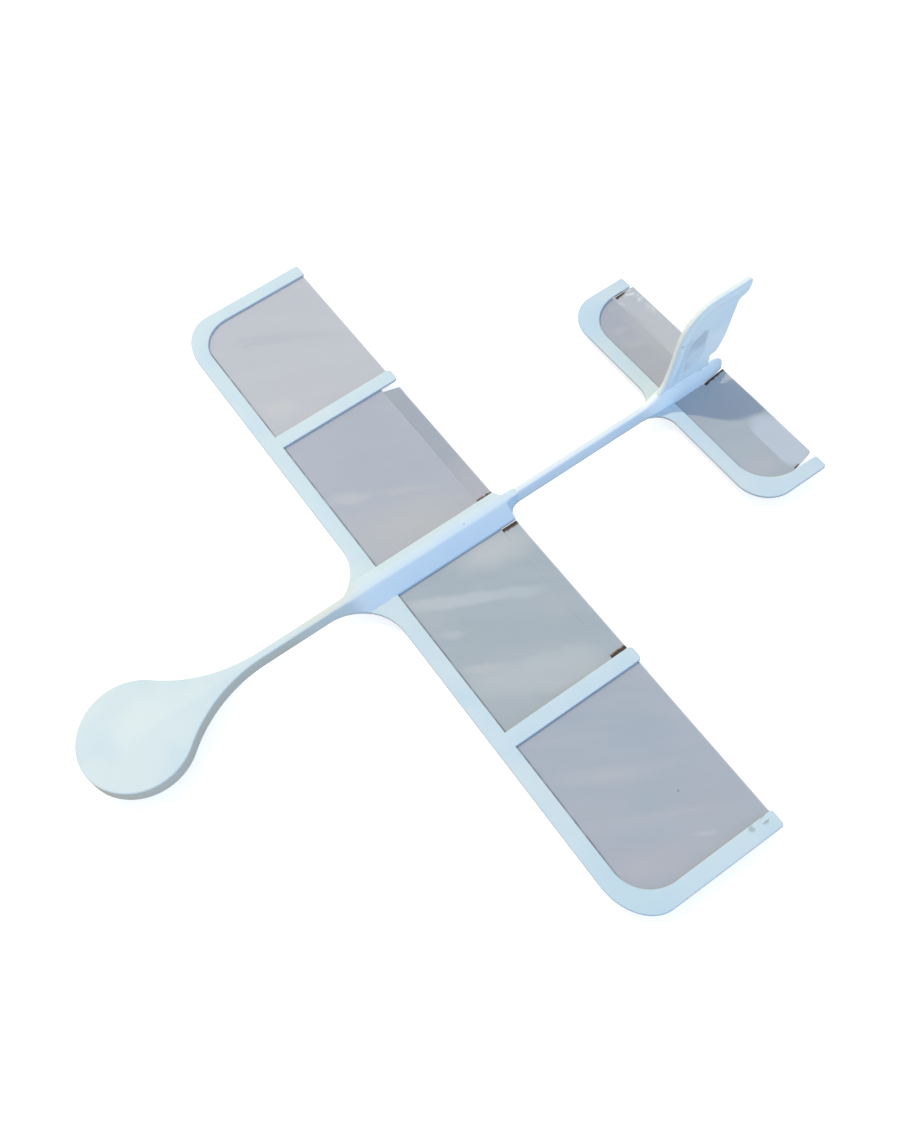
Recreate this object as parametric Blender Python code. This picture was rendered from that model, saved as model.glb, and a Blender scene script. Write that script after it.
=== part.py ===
"""Small hand-launched model glider: a smooth plastic frame with clear film in its bays.

The frame lies flat. A round ballast disc is at the nose, a slim spine runs back to the tail,
and each film bay ends in a trim tab that bends about a crease.
Sizes are in millimetres until `place` turns them into metres.
Aft is measured back from the wing's leading edge, side outward from the centre line,
and height up from the surface that the glider lies on.
In the scene +Y is aft, +X is port and +Z is up.
"""

import math

import bmesh
import bpy
from mathutils import Vector

MM = 0.001
BALANCE_AFT = 20.0          # the origin, under the body a third of the way back along the wing

# Thicknesses and levels
FILM = 0.2
FRAME_BOTTOM = FILM
FRAME_TOP = 1.2
SPINE_TOP = 5.8
EDGE = 0.4                  # chamfer along the upper edges of the thick pieces
LAP = 3.0                   # film bonded under each frame member

# Wing
HALF_SPAN = 150.0
WING_FILM_END = 58.0
WING_STRIP = 6.1            # width of the leading-edge strip
WING_CORNER_AFT = 14.0      # outer corner radius, fore and aft
WING_CORNER_SIDE = 19.0     # outer corner radius, spanwise
WING_INNER_RADIUS = 14.0
TIP_RIB_WIDTH = 6.2
INNER_RIB_SIDE = 72.9       # inboard edge of the inner rib
INNER_RIB_WIDTH = 6.1
RIB_OVERHANG = 1.3
RIB_END_RADIUS = 1.6        # corner radius at the rear end of each inner rib
TIP_END_OUTER = 1.2         # corner radii at the rear end of each tip rib
TIP_END_INNER = 0.8
BOW_LEAD = 0.8              # straight lead of a tip bow before its bend
WING_TAB_CHORD = 6.7
SLIT = 1.0
STARBOARD_NOTCH = 2.3       # the starboard tab's outer slit opens to this at the trailing edge

# Spine and body
DISC_AFT = -95.8
DISC_RADIUS = 20.7
FLARE_RADIUS = 53.5         # concave flare between disc and neck
NECK_HALF = 1.5
BOOM_HALF = 1.7
BODY_HALF = 7.2
WING_FRONT_FILLET = 19.5
WING_REAR_FILLET = BODY_HALF - BOOM_HALF

# Tail
TAIL_AFT = 130.4
TAIL_FILM_END = 160.2
TAIL_HALF_SPAN = 58.6
TAIL_STRIP = 5.7
TAIL_TIP_WIDTH = 5.7
TAIL_CORNER_AFT = 12.5
TAIL_CORNER_SIDE = 14.0
TAIL_INNER_AFT = 15.0
TAIL_INNER_SIDE = 14.5
TAIL_OVERHANG = 0.4
TAIL_TAB_CHORD = 10.0
TAIL_FILLET = 9.0
TAIL_TAB_CORNER = 2.0
TAIL_NOTCH = 2.4            # both tail tabs' outer slits open to this at the trailing edge
FAIRING_HALF = 3.0
FAIRING_TOP = 10.2
FAIRING_TOP_HALF = 1.6      # its flat top is as wide as the fin is thick
FAIRING_RISE = (2.6, 7.6, 11.0)      # how far aft of its start it lifts, step by step
FAIRING_LIFT = (6.3, 7.3, 8.7)       # its top at the steps before the full height
FAIRING_TAIL = (            # aft, base half, top half and top height of its closing end
    (153.6, FAIRING_HALF, FAIRING_TOP_HALF, FAIRING_TOP),
    (156.6, 2.8, 1.5, 9.0),
    (159.2, 2.2, 1.3, 7.6),
    (160.8, 1.4, 0.9, 6.4),
    (161.4, 0.7, 0.6, 5.2),
)

# Fin
FIN_HALF = 1.2
FIN_TOP = 44.9
FIN_CORNER_AFT = 154.0      # centre and radius of the long round from front edge to top
FIN_CORNER_RADIUS = 16.6
FIN_CORNER_START = 170.0    # angle at which that round takes over from the front edge
FIN_TIP_AFT = 168.1         # centre and radii of the rounded end that overhangs aft
FIN_TIP_RADII = (2.2, 2.4)
FIN_FRONT = ((132.4, FAIRING_TOP), (132.9, 14.4), (134.6, 19.6), (136.2, 25.6))
FIN_REAR = (                # under the overhanging tip, down to the step and the foot
    (169.3, 39.7), (167.7, 38.2), (165.6, 37.5), (164.5, 36.3), (163.8, 33.2),
    (162.0, 26.6), (160.8, 22.4), (159.3, 18.6), (157.6, 15.6),
    (156.2, 14.3), (154.3, 13.9), (153.5, 12.8), (153.4, FAIRING_TOP),
)
FIN_WINDOW = (              # small curved triangle, from its lower front corner
    (141.6, 12.4), (141.4, 18.0), (142.0, 24.0), (143.4, 27.8), (146.4, 29.6),
    (151.0, 31.4), (150.6, 24.0), (149.2, 17.6), (146.0, 14.6),
)
FIN_PANE_HALF = 0.2

# Fits
HINGE_GAP = 0.3
CUTTER_REACH = 1.0          # how far a cutter runs past the piece that it cuts
ARC_STEPS = 8
FILLET_STEPS = 16

SIDES = (("port", 1.0), ("starboard", -1.0))

FRAME_COLOUR = (0.70, 0.81, 0.87)
FILM_COLOUR = (0.62, 0.64, 0.70)


def clear_scene():
    """Removes whatever the scene holds."""
    for item in list(bpy.data.objects):
        bpy.data.objects.remove(item, do_unlink=True)


def make_material(name, colour, roughness, alpha):
    """Makes a Principled material."""
    material = bpy.data.materials.new(name)
    material.use_nodes = True
    shader = material.node_tree.nodes["Principled BSDF"]
    shader.inputs["Base Color"].default_value = (*colour, 1.0)
    shader.inputs["Roughness"].default_value = roughness
    shader.inputs["Metallic"].default_value = 0.0
    shader.inputs["Alpha"].default_value = alpha
    return material


def place(aft, side, height):
    """Turns a place on the glider into scene metres."""
    return Vector((side * MM, (aft - BALANCE_AFT) * MM, height * MM))


def arc(centre, radii, start, end, steps=ARC_STEPS):
    """Points on an ellipse's arc, angles in degrees, as (first, second) pairs."""
    points = []
    for index in range(steps + 1):
        angle = math.radians(start + (end - start) * index / steps)
        first = centre[0] + radii[0] * math.cos(angle)
        second = centre[1] + radii[1] * math.sin(angle)
        points.append((first, second))
    return points


def finish(name, mesh_data, material, origin=None):
    """Closes a bmesh into a named object with its faces pointing out."""
    bmesh.ops.recalc_face_normals(mesh_data, faces=mesh_data.faces)
    if origin is not None:
        bmesh.ops.translate(mesh_data, vec=-origin, verts=mesh_data.verts)
    mesh = bpy.data.meshes.new(name)
    mesh_data.to_mesh(mesh)
    mesh_data.free()
    mesh.materials.append(material)
    item = bpy.data.objects.new(name, mesh)
    if origin is not None:
        item.location = origin
    bpy.context.scene.collection.objects.link(item)
    return item


def split_wide_faces(mesh_data):
    """Splits each face of more than four corners into triangles that follow its outline."""
    mesh_data.normal_update()
    wide = [face for face in mesh_data.faces if len(face.verts) > 4]
    bmesh.ops.triangulate(mesh_data, faces=wide)


def skin(mesh_data, rings):
    """Joins matching rings of points into a closed skin, with a cap at each end."""
    for ring, following in zip(rings, rings[1:]):
        count = len(ring)
        for index in range(count):
            after = (index + 1) % count
            mesh_data.faces.new((ring[index], ring[after], following[after], following[index]))
    mesh_data.faces.new(rings[0])
    mesh_data.faces.new(rings[-1])
    split_wide_faces(mesh_data)


def slab(name, outline, bottom, top, material, sign=1.0, origin=None):
    """A flat piece: an (aft, side) outline raised from one level to another."""
    mesh_data = bmesh.new()
    low = [mesh_data.verts.new(place(aft, sign * side, bottom)) for aft, side in outline]
    face = mesh_data.faces.new(low)
    raised = bmesh.ops.extrude_face_region(mesh_data, geom=[face])
    top_verts = [item for item in raised["geom"] if isinstance(item, bmesh.types.BMVert)]
    bmesh.ops.translate(mesh_data, vec=Vector((0.0, 0.0, (top - bottom) * MM)), verts=top_verts)
    split_wide_faces(mesh_data)
    return finish(name, mesh_data, material, origin)


def loft(name, sections, material):
    """A closed solid through rings of points that match one another."""
    mesh_data = bmesh.new()
    rings = [[mesh_data.verts.new(point) for point in section] for section in sections]
    skin(mesh_data, rings)
    return finish(name, mesh_data, material)


def cut(target, cutter):
    """Cuts one piece's shape out of another with a Boolean modifier."""
    modifier = target.modifiers.new("Window", "BOOLEAN")
    modifier.operation = "DIFFERENCE"
    modifier.object = cutter
    modifier.solver = "EXACT"
    cutter.hide_render = True
    cutter.display_type = "WIRE"


def spine_section(aft, base_half, top_half, top):
    """One ring of the spine: upright foot, sloped flank and a chamfered flat top."""
    shoulder = top - EDGE
    right = [
        (base_half, 0.0),
        (base_half, FRAME_TOP),
        (top_half, shoulder),
        (top_half - EDGE, top),
    ]
    left = [(-side, height) for side, height in reversed(right)]
    return [place(aft, side, height) for side, height in right + left]


def nose_outline(inset):
    """The disc and its flare to the neck, port half, front to back, drawn in by the inset."""
    rise = NECK_HALF + FLARE_RADIUS
    reach = math.sqrt((DISC_RADIUS + FLARE_RADIUS) ** 2 - rise ** 2)
    meet = math.degrees(math.atan2(rise, reach))
    radius = DISC_RADIUS - inset
    flare = FLARE_RADIUS + inset
    disc = arc((DISC_AFT, 0.0), (radius, radius), 180.0, meet, 22)
    back = arc((DISC_AFT + reach, rise), (flare, flare), 180.0 + meet, 270.0, 12)
    return disc[1:] + back[1:]


def nose_disc(material):
    """Ballast disc with the flare that narrows to the neck. Returns where it ends."""
    sections = []
    for inset, height in ((0.0, 0.0), (0.0, SPINE_TOP - EDGE), (EDGE, SPINE_TOP)):
        half = nose_outline(inset)
        front = (DISC_AFT - DISC_RADIUS + inset, 0.0)
        outline = [front] + half + [(aft, -side) for aft, side in reversed(half)]
        sections.append([place(aft, side, height) for aft, side in outline])
    loft("nose_disc", sections, material)
    return nose_outline(0.0)[-1][0]


def bar(name, front, back, front_half, back_half, material):
    """A straight stretch of the spine."""
    sections = [
        spine_section(front, front_half, front_half, SPINE_TOP),
        spine_section(back, back_half, back_half, SPINE_TOP),
    ]
    return loft(name, sections, material)


def front_fillet(front, radius, spine_half):
    """The concave curve from the spine's side out to a leading edge."""
    centre = (front - radius, spine_half + radius)
    return arc(centre, (radius, radius), -90.0, 0.0, FILLET_STEPS)


def fillet_crossing(fillet, side_level):
    """How far aft the fillet reaches a given side."""
    for (aft, side), (next_aft, next_side) in zip(fillet, fillet[1:]):
        if side <= side_level <= next_side:
            share = (side_level - side) / (next_side - side)
            return aft + share * (next_aft - aft)
    return fillet[-1][0]


def body_stations():
    """Aft, base half-width and top half-width along the body, front to back."""
    fillet = front_fillet(0.0, WING_FRONT_FILLET, NECK_HALF)
    stations = [(aft, side, NECK_HALF) for aft, side in fillet if side < BODY_HALF - EDGE * 0.5]
    stations.append((fillet_crossing(fillet, BODY_HALF), BODY_HALF, NECK_HALF))
    stations.append((WING_STRIP, BODY_HALF, NECK_HALF))
    stations.append((WING_FILM_END, BODY_HALF, BOOM_HALF))
    centre = (WING_FILM_END + WING_REAR_FILLET, BODY_HALF)
    rear = arc(centre, (WING_REAR_FILLET, WING_REAR_FILLET), 180.0, 270.0)
    stations += [(aft, side, BOOM_HALF) for aft, side in rear[1:]]
    return stations


def fuselage(material):
    """Low roof-shaped body between the wings. Returns where it starts and ends."""
    stations = body_stations()
    sections = [spine_section(aft, base, top, SPINE_TOP) for aft, base, top in stations]
    loft("fuselage", sections, material)
    return stations[0][0], stations[-1][0]


def leading_edge(name, fillet, flank, back, outer, material, sign):
    """Strip along a leading edge, flared forward at its root to meet the spine."""
    outline = [(fillet_crossing(fillet, flank), flank)]
    outline += [(aft, side) for aft, side in fillet if side > flank]
    outline += [(fillet[-1][0], outer), (back, outer), (back, flank)]
    slab(name, outline, FRAME_BOTTOM, FRAME_TOP, material, sign)


def bow_joint(half_span, rib, outer_side, inner_side):
    """Where a leading edge ends and its tip bow begins, just before the bow's bend."""
    return min(half_span - outer_side, half_span - rib - inner_side) - BOW_LEAD


def tip_bow(name, front, back, half_span, strip, rib, outer_radii, inner_radii, joint,
            material, sign):
    """Rounded corner and tip rib in one bent strip, starting at the strip's joint."""
    corner = (front + outer_radii[0], half_span - outer_radii[1])
    outer = arc(corner, outer_radii, 180.0, 90.0, 10)
    inside = (front + strip + inner_radii[0], half_span - rib - inner_radii[1])
    inner = arc(inside, inner_radii, 90.0, 180.0, 10)
    outer_centre = (back - TIP_END_OUTER, half_span - TIP_END_OUTER)
    end_outer = arc(outer_centre, (TIP_END_OUTER, TIP_END_OUTER), 90.0, 0.0, 3)
    inner_centre = (back - TIP_END_INNER, half_span - rib + TIP_END_INNER)
    end_inner = arc(inner_centre, (TIP_END_INNER, TIP_END_INNER), 0.0, -90.0, 3)
    outline = [(front, joint)] + outer + end_outer + end_inner + inner
    outline.append((front + strip, joint))
    slab(name, outline, FRAME_BOTTOM, FRAME_TOP, material, sign)


def inner_rib(name, front, back, inner, width, material, sign):
    """Straight rib with rounded corners at its rear end."""
    radii = (RIB_END_RADIUS, RIB_END_RADIUS)
    behind = back - RIB_END_RADIUS
    inboard = arc((behind, inner + RIB_END_RADIUS), radii, -90.0, 0.0, 4)
    outboard = arc((behind, inner + width - RIB_END_RADIUS), radii, 0.0, 90.0, 4)
    outline = [(front, inner)] + inboard + outboard + [(front, inner + width)]
    slab(name, outline, FRAME_BOTTOM, FRAME_TOP, material, sign)


def wing(frame, film, side_name, sign):
    """One wing: leading edge, tip bow, inner rib, two film panels and the trim tab."""
    joint = bow_joint(HALF_SPAN, TIP_RIB_WIDTH, WING_CORNER_SIDE, WING_INNER_RADIUS)
    outer_edge = INNER_RIB_SIDE + INNER_RIB_WIDTH
    crease = WING_FILM_END - WING_TAB_CHORD
    fillet = front_fillet(0.0, WING_FRONT_FILLET, NECK_HALF)
    leading_edge("wing_leading_edge_" + side_name, fillet, BODY_HALF, WING_STRIP, joint,
                 frame, sign)
    tip_bow("wing_tip_bow_" + side_name, 0.0, WING_FILM_END + RIB_OVERHANG * 0.5, HALF_SPAN,
            WING_STRIP, TIP_RIB_WIDTH, (WING_CORNER_AFT, WING_CORNER_SIDE),
            (WING_INNER_RADIUS, WING_INNER_RADIUS), joint, frame, sign)
    inner_rib("wing_rib_" + side_name, WING_STRIP, WING_FILM_END + RIB_OVERHANG,
              INNER_RIB_SIDE, INNER_RIB_WIDTH, frame, sign)

    front = WING_STRIP - LAP
    inner_panel = [
        (front, BODY_HALF),
        (front, INNER_RIB_SIDE + LAP),
        (crease, INNER_RIB_SIDE + LAP),
        (crease, BODY_HALF),
    ]
    slab("wing_film_inner_" + side_name, inner_panel, 0.0, FILM, film, sign)

    tip = HALF_SPAN - TIP_RIB_WIDTH + LAP
    corner = (front + WING_INNER_RADIUS, tip - WING_INNER_RADIUS)
    rounded = arc(corner, (WING_INNER_RADIUS, WING_INNER_RADIUS), 180.0, 90.0, 8)
    start = outer_edge - LAP
    outer_panel = [(front, start)] + rounded + [(WING_FILM_END, tip), (WING_FILM_END, start)]
    slab("wing_film_outer_" + side_name, outer_panel, 0.0, FILM, film, sign)

    notch = STARBOARD_NOTCH if sign < 0.0 else SLIT
    tab_front = crease + HINGE_GAP
    outline = [
        (tab_front, BODY_HALF + SLIT),
        (tab_front, INNER_RIB_SIDE - SLIT),
        (WING_FILM_END, INNER_RIB_SIDE - notch),
        (WING_FILM_END, BODY_HALF + SLIT),
    ]
    middle = sign * (BODY_HALF + INNER_RIB_SIDE) * 0.5
    axis_point = place(crease + HINGE_GAP * 0.5, middle, FILM * 0.5)
    slab("wing_tab_" + side_name, outline, 0.0, FILM, film, sign, axis_point)


def tail_half(frame, film, side_name, sign):
    """One side of the tailplane: leading edge, tip bow, film and trim tab."""
    joint = bow_joint(TAIL_HALF_SPAN, TAIL_TIP_WIDTH, TAIL_CORNER_SIDE, TAIL_INNER_SIDE)
    crease = TAIL_FILM_END - TAIL_TAB_CHORD
    fillet = front_fillet(TAIL_AFT, TAIL_FILLET, BOOM_HALF)
    leading_edge("tail_leading_edge_" + side_name, fillet, FAIRING_HALF, TAIL_AFT + TAIL_STRIP,
                 joint, frame, sign)
    tip_bow("tail_tip_bow_" + side_name, TAIL_AFT, TAIL_FILM_END + TAIL_OVERHANG,
            TAIL_HALF_SPAN, TAIL_STRIP, TAIL_TIP_WIDTH, (TAIL_CORNER_AFT, TAIL_CORNER_SIDE),
            (TAIL_INNER_AFT, TAIL_INNER_SIDE), joint, frame, sign)

    front = TAIL_AFT + TAIL_STRIP - LAP
    tip = TAIL_HALF_SPAN - TAIL_TIP_WIDTH + LAP
    corner = (front + TAIL_INNER_AFT, tip - TAIL_INNER_SIDE)
    rounded = arc(corner, (TAIL_INNER_AFT, TAIL_INNER_SIDE), 180.0, 90.0, 8)
    panel = [(front, FAIRING_HALF)] + rounded + [(crease, tip), (crease, FAIRING_HALF)]
    slab("tail_film_" + side_name, panel, 0.0, FILM, film, sign)

    inner = FAIRING_HALF + SLIT
    outer = TAIL_HALF_SPAN - TAIL_TIP_WIDTH
    tab_front = crease + HINGE_GAP
    radius = TAIL_TAB_CORNER
    trailing_outer = outer - TAIL_NOTCH
    rounded_corner = arc((TAIL_FILM_END - radius, trailing_outer - radius), (radius, radius),
                         90.0, 0.0, 4)
    outline = [(tab_front, inner), (tab_front, outer - SLIT)] + rounded_corner
    outline.append((TAIL_FILM_END, inner))
    axis_point = place(crease + HINGE_GAP * 0.5, sign * (inner + outer) * 0.5, FILM * 0.5)
    slab("tail_tab_" + side_name, outline, 0.0, FILM, film, sign, axis_point)


def tail_fairing(material):
    """The spine's end, which widens, rises to carry the fin and closes in a rounded end."""
    fillet = front_fillet(TAIL_AFT, TAIL_FILLET, BOOM_HALF)
    start = fillet[0][0]
    flank = fillet_crossing(fillet, FAIRING_HALF)
    swell = (BOOM_HALF + FAIRING_HALF) * 0.45
    stations = [
        (start, BOOM_HALF, BOOM_HALF, SPINE_TOP),
        (start + FAIRING_RISE[0], swell, FAIRING_TOP_HALF, FAIRING_LIFT[0]),
        (flank, FAIRING_HALF, FAIRING_TOP_HALF, FAIRING_LIFT[1]),
        (start + FAIRING_RISE[1], FAIRING_HALF, FAIRING_TOP_HALF, FAIRING_LIFT[2]),
        (start + FAIRING_RISE[2], FAIRING_HALF, FAIRING_TOP_HALF, FAIRING_TOP),
        *FAIRING_TAIL,
    ]
    sections = [spine_section(*station) for station in stations]
    loft("tail_fairing", sections, material)
    return start


def upright(name, outline, half, material):
    """A flat piece standing on the centre line, from (aft, height) points."""
    mesh_data = bmesh.new()
    near = [mesh_data.verts.new(place(aft, half, height)) for aft, height in outline]
    face = mesh_data.faces.new(near)
    raised = bmesh.ops.extrude_face_region(mesh_data, geom=[face])
    far = [item for item in raised["geom"] if isinstance(item, bmesh.types.BMVert)]
    bmesh.ops.translate(mesh_data, vec=Vector((-2.0 * half * MM, 0.0, 0.0)), verts=far)
    split_wide_faces(mesh_data)
    return finish(name, mesh_data, material)


def fin(frame, film):
    """Upright fin: swept front edge, rounded corner, tip that overhangs, and a film window."""
    corner_centre = (FIN_CORNER_AFT, FIN_TOP - FIN_CORNER_RADIUS)
    corner_radii = (FIN_CORNER_RADIUS, FIN_CORNER_RADIUS)
    corner = arc(corner_centre, corner_radii, FIN_CORNER_START, 90.0)
    tip_end = arc((FIN_TIP_AFT, FIN_TOP - FIN_TIP_RADII[1]), FIN_TIP_RADII, 90.0, -20.0, 5)
    outline = [*FIN_FRONT, *corner, *tip_end, *FIN_REAR]
    plate = upright("fin", outline, FIN_HALF, frame)
    window = upright("fin_window_cutter", FIN_WINDOW, FIN_HALF + CUTTER_REACH, frame)
    cut(plate, window)
    upright("fin_film", FIN_WINDOW, FIN_PANE_HALF, film)


def build():
    """Builds every piece of the glider."""
    clear_scene()
    frame = make_material("frame_plastic", FRAME_COLOUR, 0.45, 1.0)
    film = make_material("clear_film", FILM_COLOUR, 0.25, 0.6)

    disc_end = nose_disc(frame)
    body_front, body_back = fuselage(frame)
    bar("nose_boom", disc_end, body_front, NECK_HALF, NECK_HALF, frame)
    fairing_start = tail_fairing(frame)
    bar("tail_boom", body_back, fairing_start, BOOM_HALF, BOOM_HALF, frame)
    fin(frame, film)
    for side_name, sign in SIDES:
        wing(frame, film, side_name, sign)
        tail_half(frame, film, side_name, sign)


build()
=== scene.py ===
"""Looks for a small hand-launched model glider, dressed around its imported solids.

Each sub-assembly is a class that holds its sizes, builds its meshes and dresses them.
Sizes are in millimetres until `place` or `MM` turns them into metres.
The sizes of a shader effect are in metres, as its sockets take them.
Aft is measured back from the wing's leading edge, side outward from the centre line,
and height up from the surface that the glider lies on.
"""

import logging
import math
from collections.abc import Callable, Sequence
from dataclasses import dataclass, field, replace
from enum import Enum
from functools import partial, reduce
from typing import Any

import bmesh
import bpy
from mathutils import Matrix, Vector
from mathutils.geometry import tessellate_polygon


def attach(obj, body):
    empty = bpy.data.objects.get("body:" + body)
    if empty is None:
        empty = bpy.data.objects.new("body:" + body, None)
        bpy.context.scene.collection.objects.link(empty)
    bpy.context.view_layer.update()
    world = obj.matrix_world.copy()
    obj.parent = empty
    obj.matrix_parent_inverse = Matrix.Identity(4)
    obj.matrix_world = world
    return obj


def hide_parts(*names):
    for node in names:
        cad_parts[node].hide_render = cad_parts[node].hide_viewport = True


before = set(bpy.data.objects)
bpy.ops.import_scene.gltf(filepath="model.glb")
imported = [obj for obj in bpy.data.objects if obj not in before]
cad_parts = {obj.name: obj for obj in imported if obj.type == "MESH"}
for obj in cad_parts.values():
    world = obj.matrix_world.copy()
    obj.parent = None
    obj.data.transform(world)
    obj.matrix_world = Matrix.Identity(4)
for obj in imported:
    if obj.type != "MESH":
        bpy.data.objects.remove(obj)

LOG = logging.getLogger("glider")
Point = tuple[float, float]
Tone = tuple[float, float, float]

MM = 0.001
BALANCE_AFT = 20.0
AIRFRAME = "airframe"

# Levels shared with the solids
FILM = 0.2
FRAME_TOP = 1.2
SPINE_TOP = 5.8
LAP = 3.0

# Wing
HALF_SPAN = 150.0
WING_END = 58.0
WING_STRIP = 6.1
WING_CORNER = (14.0, 19.0)
WING_INNER = (14.0, 14.0)
WING_TIP = 6.2
RIB_WIDTH = 6.1
RIB_CORNER = 1.6
RIB_OVERHANG = 1.3
WING_CREASE = 51.3

# Spine
DISC_AFT = -95.8
DISC_RADIUS = 20.7
FLARE_RADIUS = 53.5
NECK_HALF = 1.5
BOOM_HALF = 1.7
BODY_HALF = 7.2
WING_FILLET = 19.5
BODY_START = -19.5
BODY_END = 63.5

# Tail
TAIL_AFT = 130.4
TAIL_END = 160.5
TAIL_HALF = 58.6
TAIL_STRIP = 5.7
TAIL_TIP = 5.7
TAIL_CORNER = (12.5, 14.0)
TAIL_INNER = (15.0, 14.5)
TAIL_CREASE = 150.2
TAIL_FILLET = 9.0
FAIRING_FOOT = 1.5
TIP_ENDS = (1.2, 0.8)

HINGE_GAP = 0.3
CREASE_LAP = 0.13
LOOSE = -20.0                       # clamp of a trim tab, whose edges nothing holds down
# WING_LINE and TAIL_LINE place the painted shadow line along the frame's edge.
WING_LINE = WING_STRIP + 0.1        # the dark line where the film leaves the leading edge
TAIL_LINE = TAIL_AFT + TAIL_STRIP + 0.1
STREAK_ANGLE = math.radians(60.0)
WRINKLE_LENGTH = 0.030
WRINKLE_WIDTH = 0.008
SHARP = math.radians(38.0)          # an edge that turns further than this stays crisp


class Side(Enum):
    """The two sides of the glider, each with the sign of its scene X."""

    PORT = 1.0
    STARBOARD = -1.0

    @property
    def word(self) -> str:
        """The side's name as the solids spell it."""
        return self.name.lower()

    @property
    def hand(self) -> str:
        """The side's name as the moving bodies spell it."""
        return "left" if self is Side.PORT else "right"


RIB_SIDE = {Side.PORT: 72.4, Side.STARBOARD: 73.4}
TAIL_TIP_END = {Side.PORT: 160.9, Side.STARBOARD: 159.5}


class Slot(Enum):
    """The record's material slots."""

    FRAME = "frame_plastic"
    FILM = "clear_film"


def place(aft: float, side: float, height: float) -> Vector:
    """Turns a place on the glider into scene metres."""
    return Vector((side * MM, (aft - BALANCE_AFT) * MM, height * MM))


def arc(centre: Point, radii: Point, start: float, end: float, steps: int) -> list[Point]:
    """Points on an ellipse's arc.

    Args:
        centre: The ellipse's middle.
        radii: Its two radii.
        start: First angle in degrees.
        end: Last angle in degrees.
        steps: How many stretches the arc is cut into.

    Returns:
        The points, ends included.
    """
    points = []
    for index in range(steps + 1):
        angle = math.radians(start + (end - start) * index / steps)
        points.append((centre[0] + radii[0] * math.cos(angle),
                       centre[1] + radii[1] * math.sin(angle)))
    return points


def without_repeats(outline: Sequence[Point], least: float = 0.02) -> list[Point]:
    """Drops each point that lies on the one before it.

    Args:
        outline: A closed outline's points.
        least: How far apart two points have to be.

    Returns:
        The points that are left.
    """
    kept: list[Point] = []
    for point in outline:
        if not kept or math.dist(point, kept[-1]) > least:
            kept.append(point)
    if math.dist(kept[0], kept[-1]) < least:
        kept.pop()
    return kept


def drawn_in(outline: Sequence[Point], distance: float) -> list[Point]:
    """Draws a closed outline in by a distance.

    Args:
        outline: The outline's corners in order, either way round.
        distance: How far in, or out where it is negative.

    Returns:
        One point for each corner.
    """
    count = len(outline)
    area = sum(outline[i][0] * outline[(i + 1) % count][1]
               - outline[(i + 1) % count][0] * outline[i][1] for i in range(count))
    turn = 1.0 if area > 0.0 else -1.0
    moved = []
    for index, corner in enumerate(outline):
        before = Vector(corner) - Vector(outline[index - 1])
        after = Vector(outline[(index + 1) % count]) - Vector(corner)
        before.normalize()
        after.normalize()
        first = Vector((-before.y, before.x)) * turn
        second = Vector((-after.y, after.x)) * turn
        share = max(1.0 + first.dot(second), 0.5)
        shifted = Vector(corner) + (first + second) * (distance / share)
        moved.append((shifted.x, shifted.y))
    return moved


def bridge(mesh_data: Any, rings: Sequence[Sequence[Any]]) -> None:
    """Joins rings of matching points by smooth walls.

    Args:
        mesh_data: The mesh that holds the points.
        rings: The rings in order.
    """
    for ring, following in zip(rings, rings[1:]):
        for index in range(len(ring)):
            after = (index + 1) % len(ring)
            wall = mesh_data.faces.new((ring[index], ring[after],
                                        following[after], following[index]))
            wall.smooth = True


def layered_mesh(name: str, outlines: Sequence[Sequence[Point]],
                 layers: Sequence[tuple[float, float]],
                 locate: Callable[[float, float, float], Vector]) -> bpy.types.Object:
    """A solid between two flat faces, with rounded rims and any holes.

    Args:
        name: The new object's name.
        outlines: The outer outline, then each hole's.
        layers: How far in and at what level each ring lies, from one face to the other.
        locate: Turns an outline's two numbers and a level into a place.

    Returns:
        The new object.
    """
    mesh_data = bmesh.new()
    ends: list[list[Any]] = [[], []]
    for number, outline in enumerate(outlines):
        way = 1.0 if number == 0 else -1.0
        drawn = [drawn_in(outline, inset * way) for inset, _ in layers]
        rings = [[mesh_data.verts.new(locate(a, b, level)) for a, b in points]
                 for points, (_, level) in zip(drawn, layers)]
        bridge(mesh_data, rings)
        for end, index in zip(ends, (0, -1)):
            end.append((rings[index], drawn[index]))
    for loops in ends:
        corners = [vert for ring, _ in loops for vert in ring]
        flat = [[Vector((a, b, 0.0)) for a, b in points] for _, points in loops]
        for triangle in tessellate_polygon(flat):
            mesh_data.faces.new([corners[index] for index in triangle])
    return finished(name, mesh_data)


def lofted_mesh(name: str, sections: Sequence[Sequence[Vector]]) -> bpy.types.Object:
    """A smooth closed solid through rings of points that match one another.

    Args:
        name: The new object's name.
        sections: The rings in order, each a row of places.

    Returns:
        The new object.
    """
    mesh_data = bmesh.new()
    rings = [[mesh_data.verts.new(point) for point in section] for section in sections]
    bridge(mesh_data, rings)
    for cap in (rings[0], rings[-1]):
        mesh_data.faces.new(cap)
    return finished(name, mesh_data)


def finished(name: str, mesh_data: Any) -> bpy.types.Object:
    """Turns a bmesh into an object at the origin, its faces pointing out.

    Args:
        name: The new object's name.
        mesh_data: The bmesh, which is freed.

    Returns:
        The new object.
    """
    bmesh.ops.recalc_face_normals(mesh_data, faces=mesh_data.faces)
    mesh = bpy.data.meshes.new(name)
    mesh_data.to_mesh(mesh)
    mesh_data.free()
    mesh.set_sharp_from_angle(angle=SHARP)
    item = bpy.data.objects.new(name, mesh)
    bpy.context.scene.collection.objects.link(item)
    return item


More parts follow.
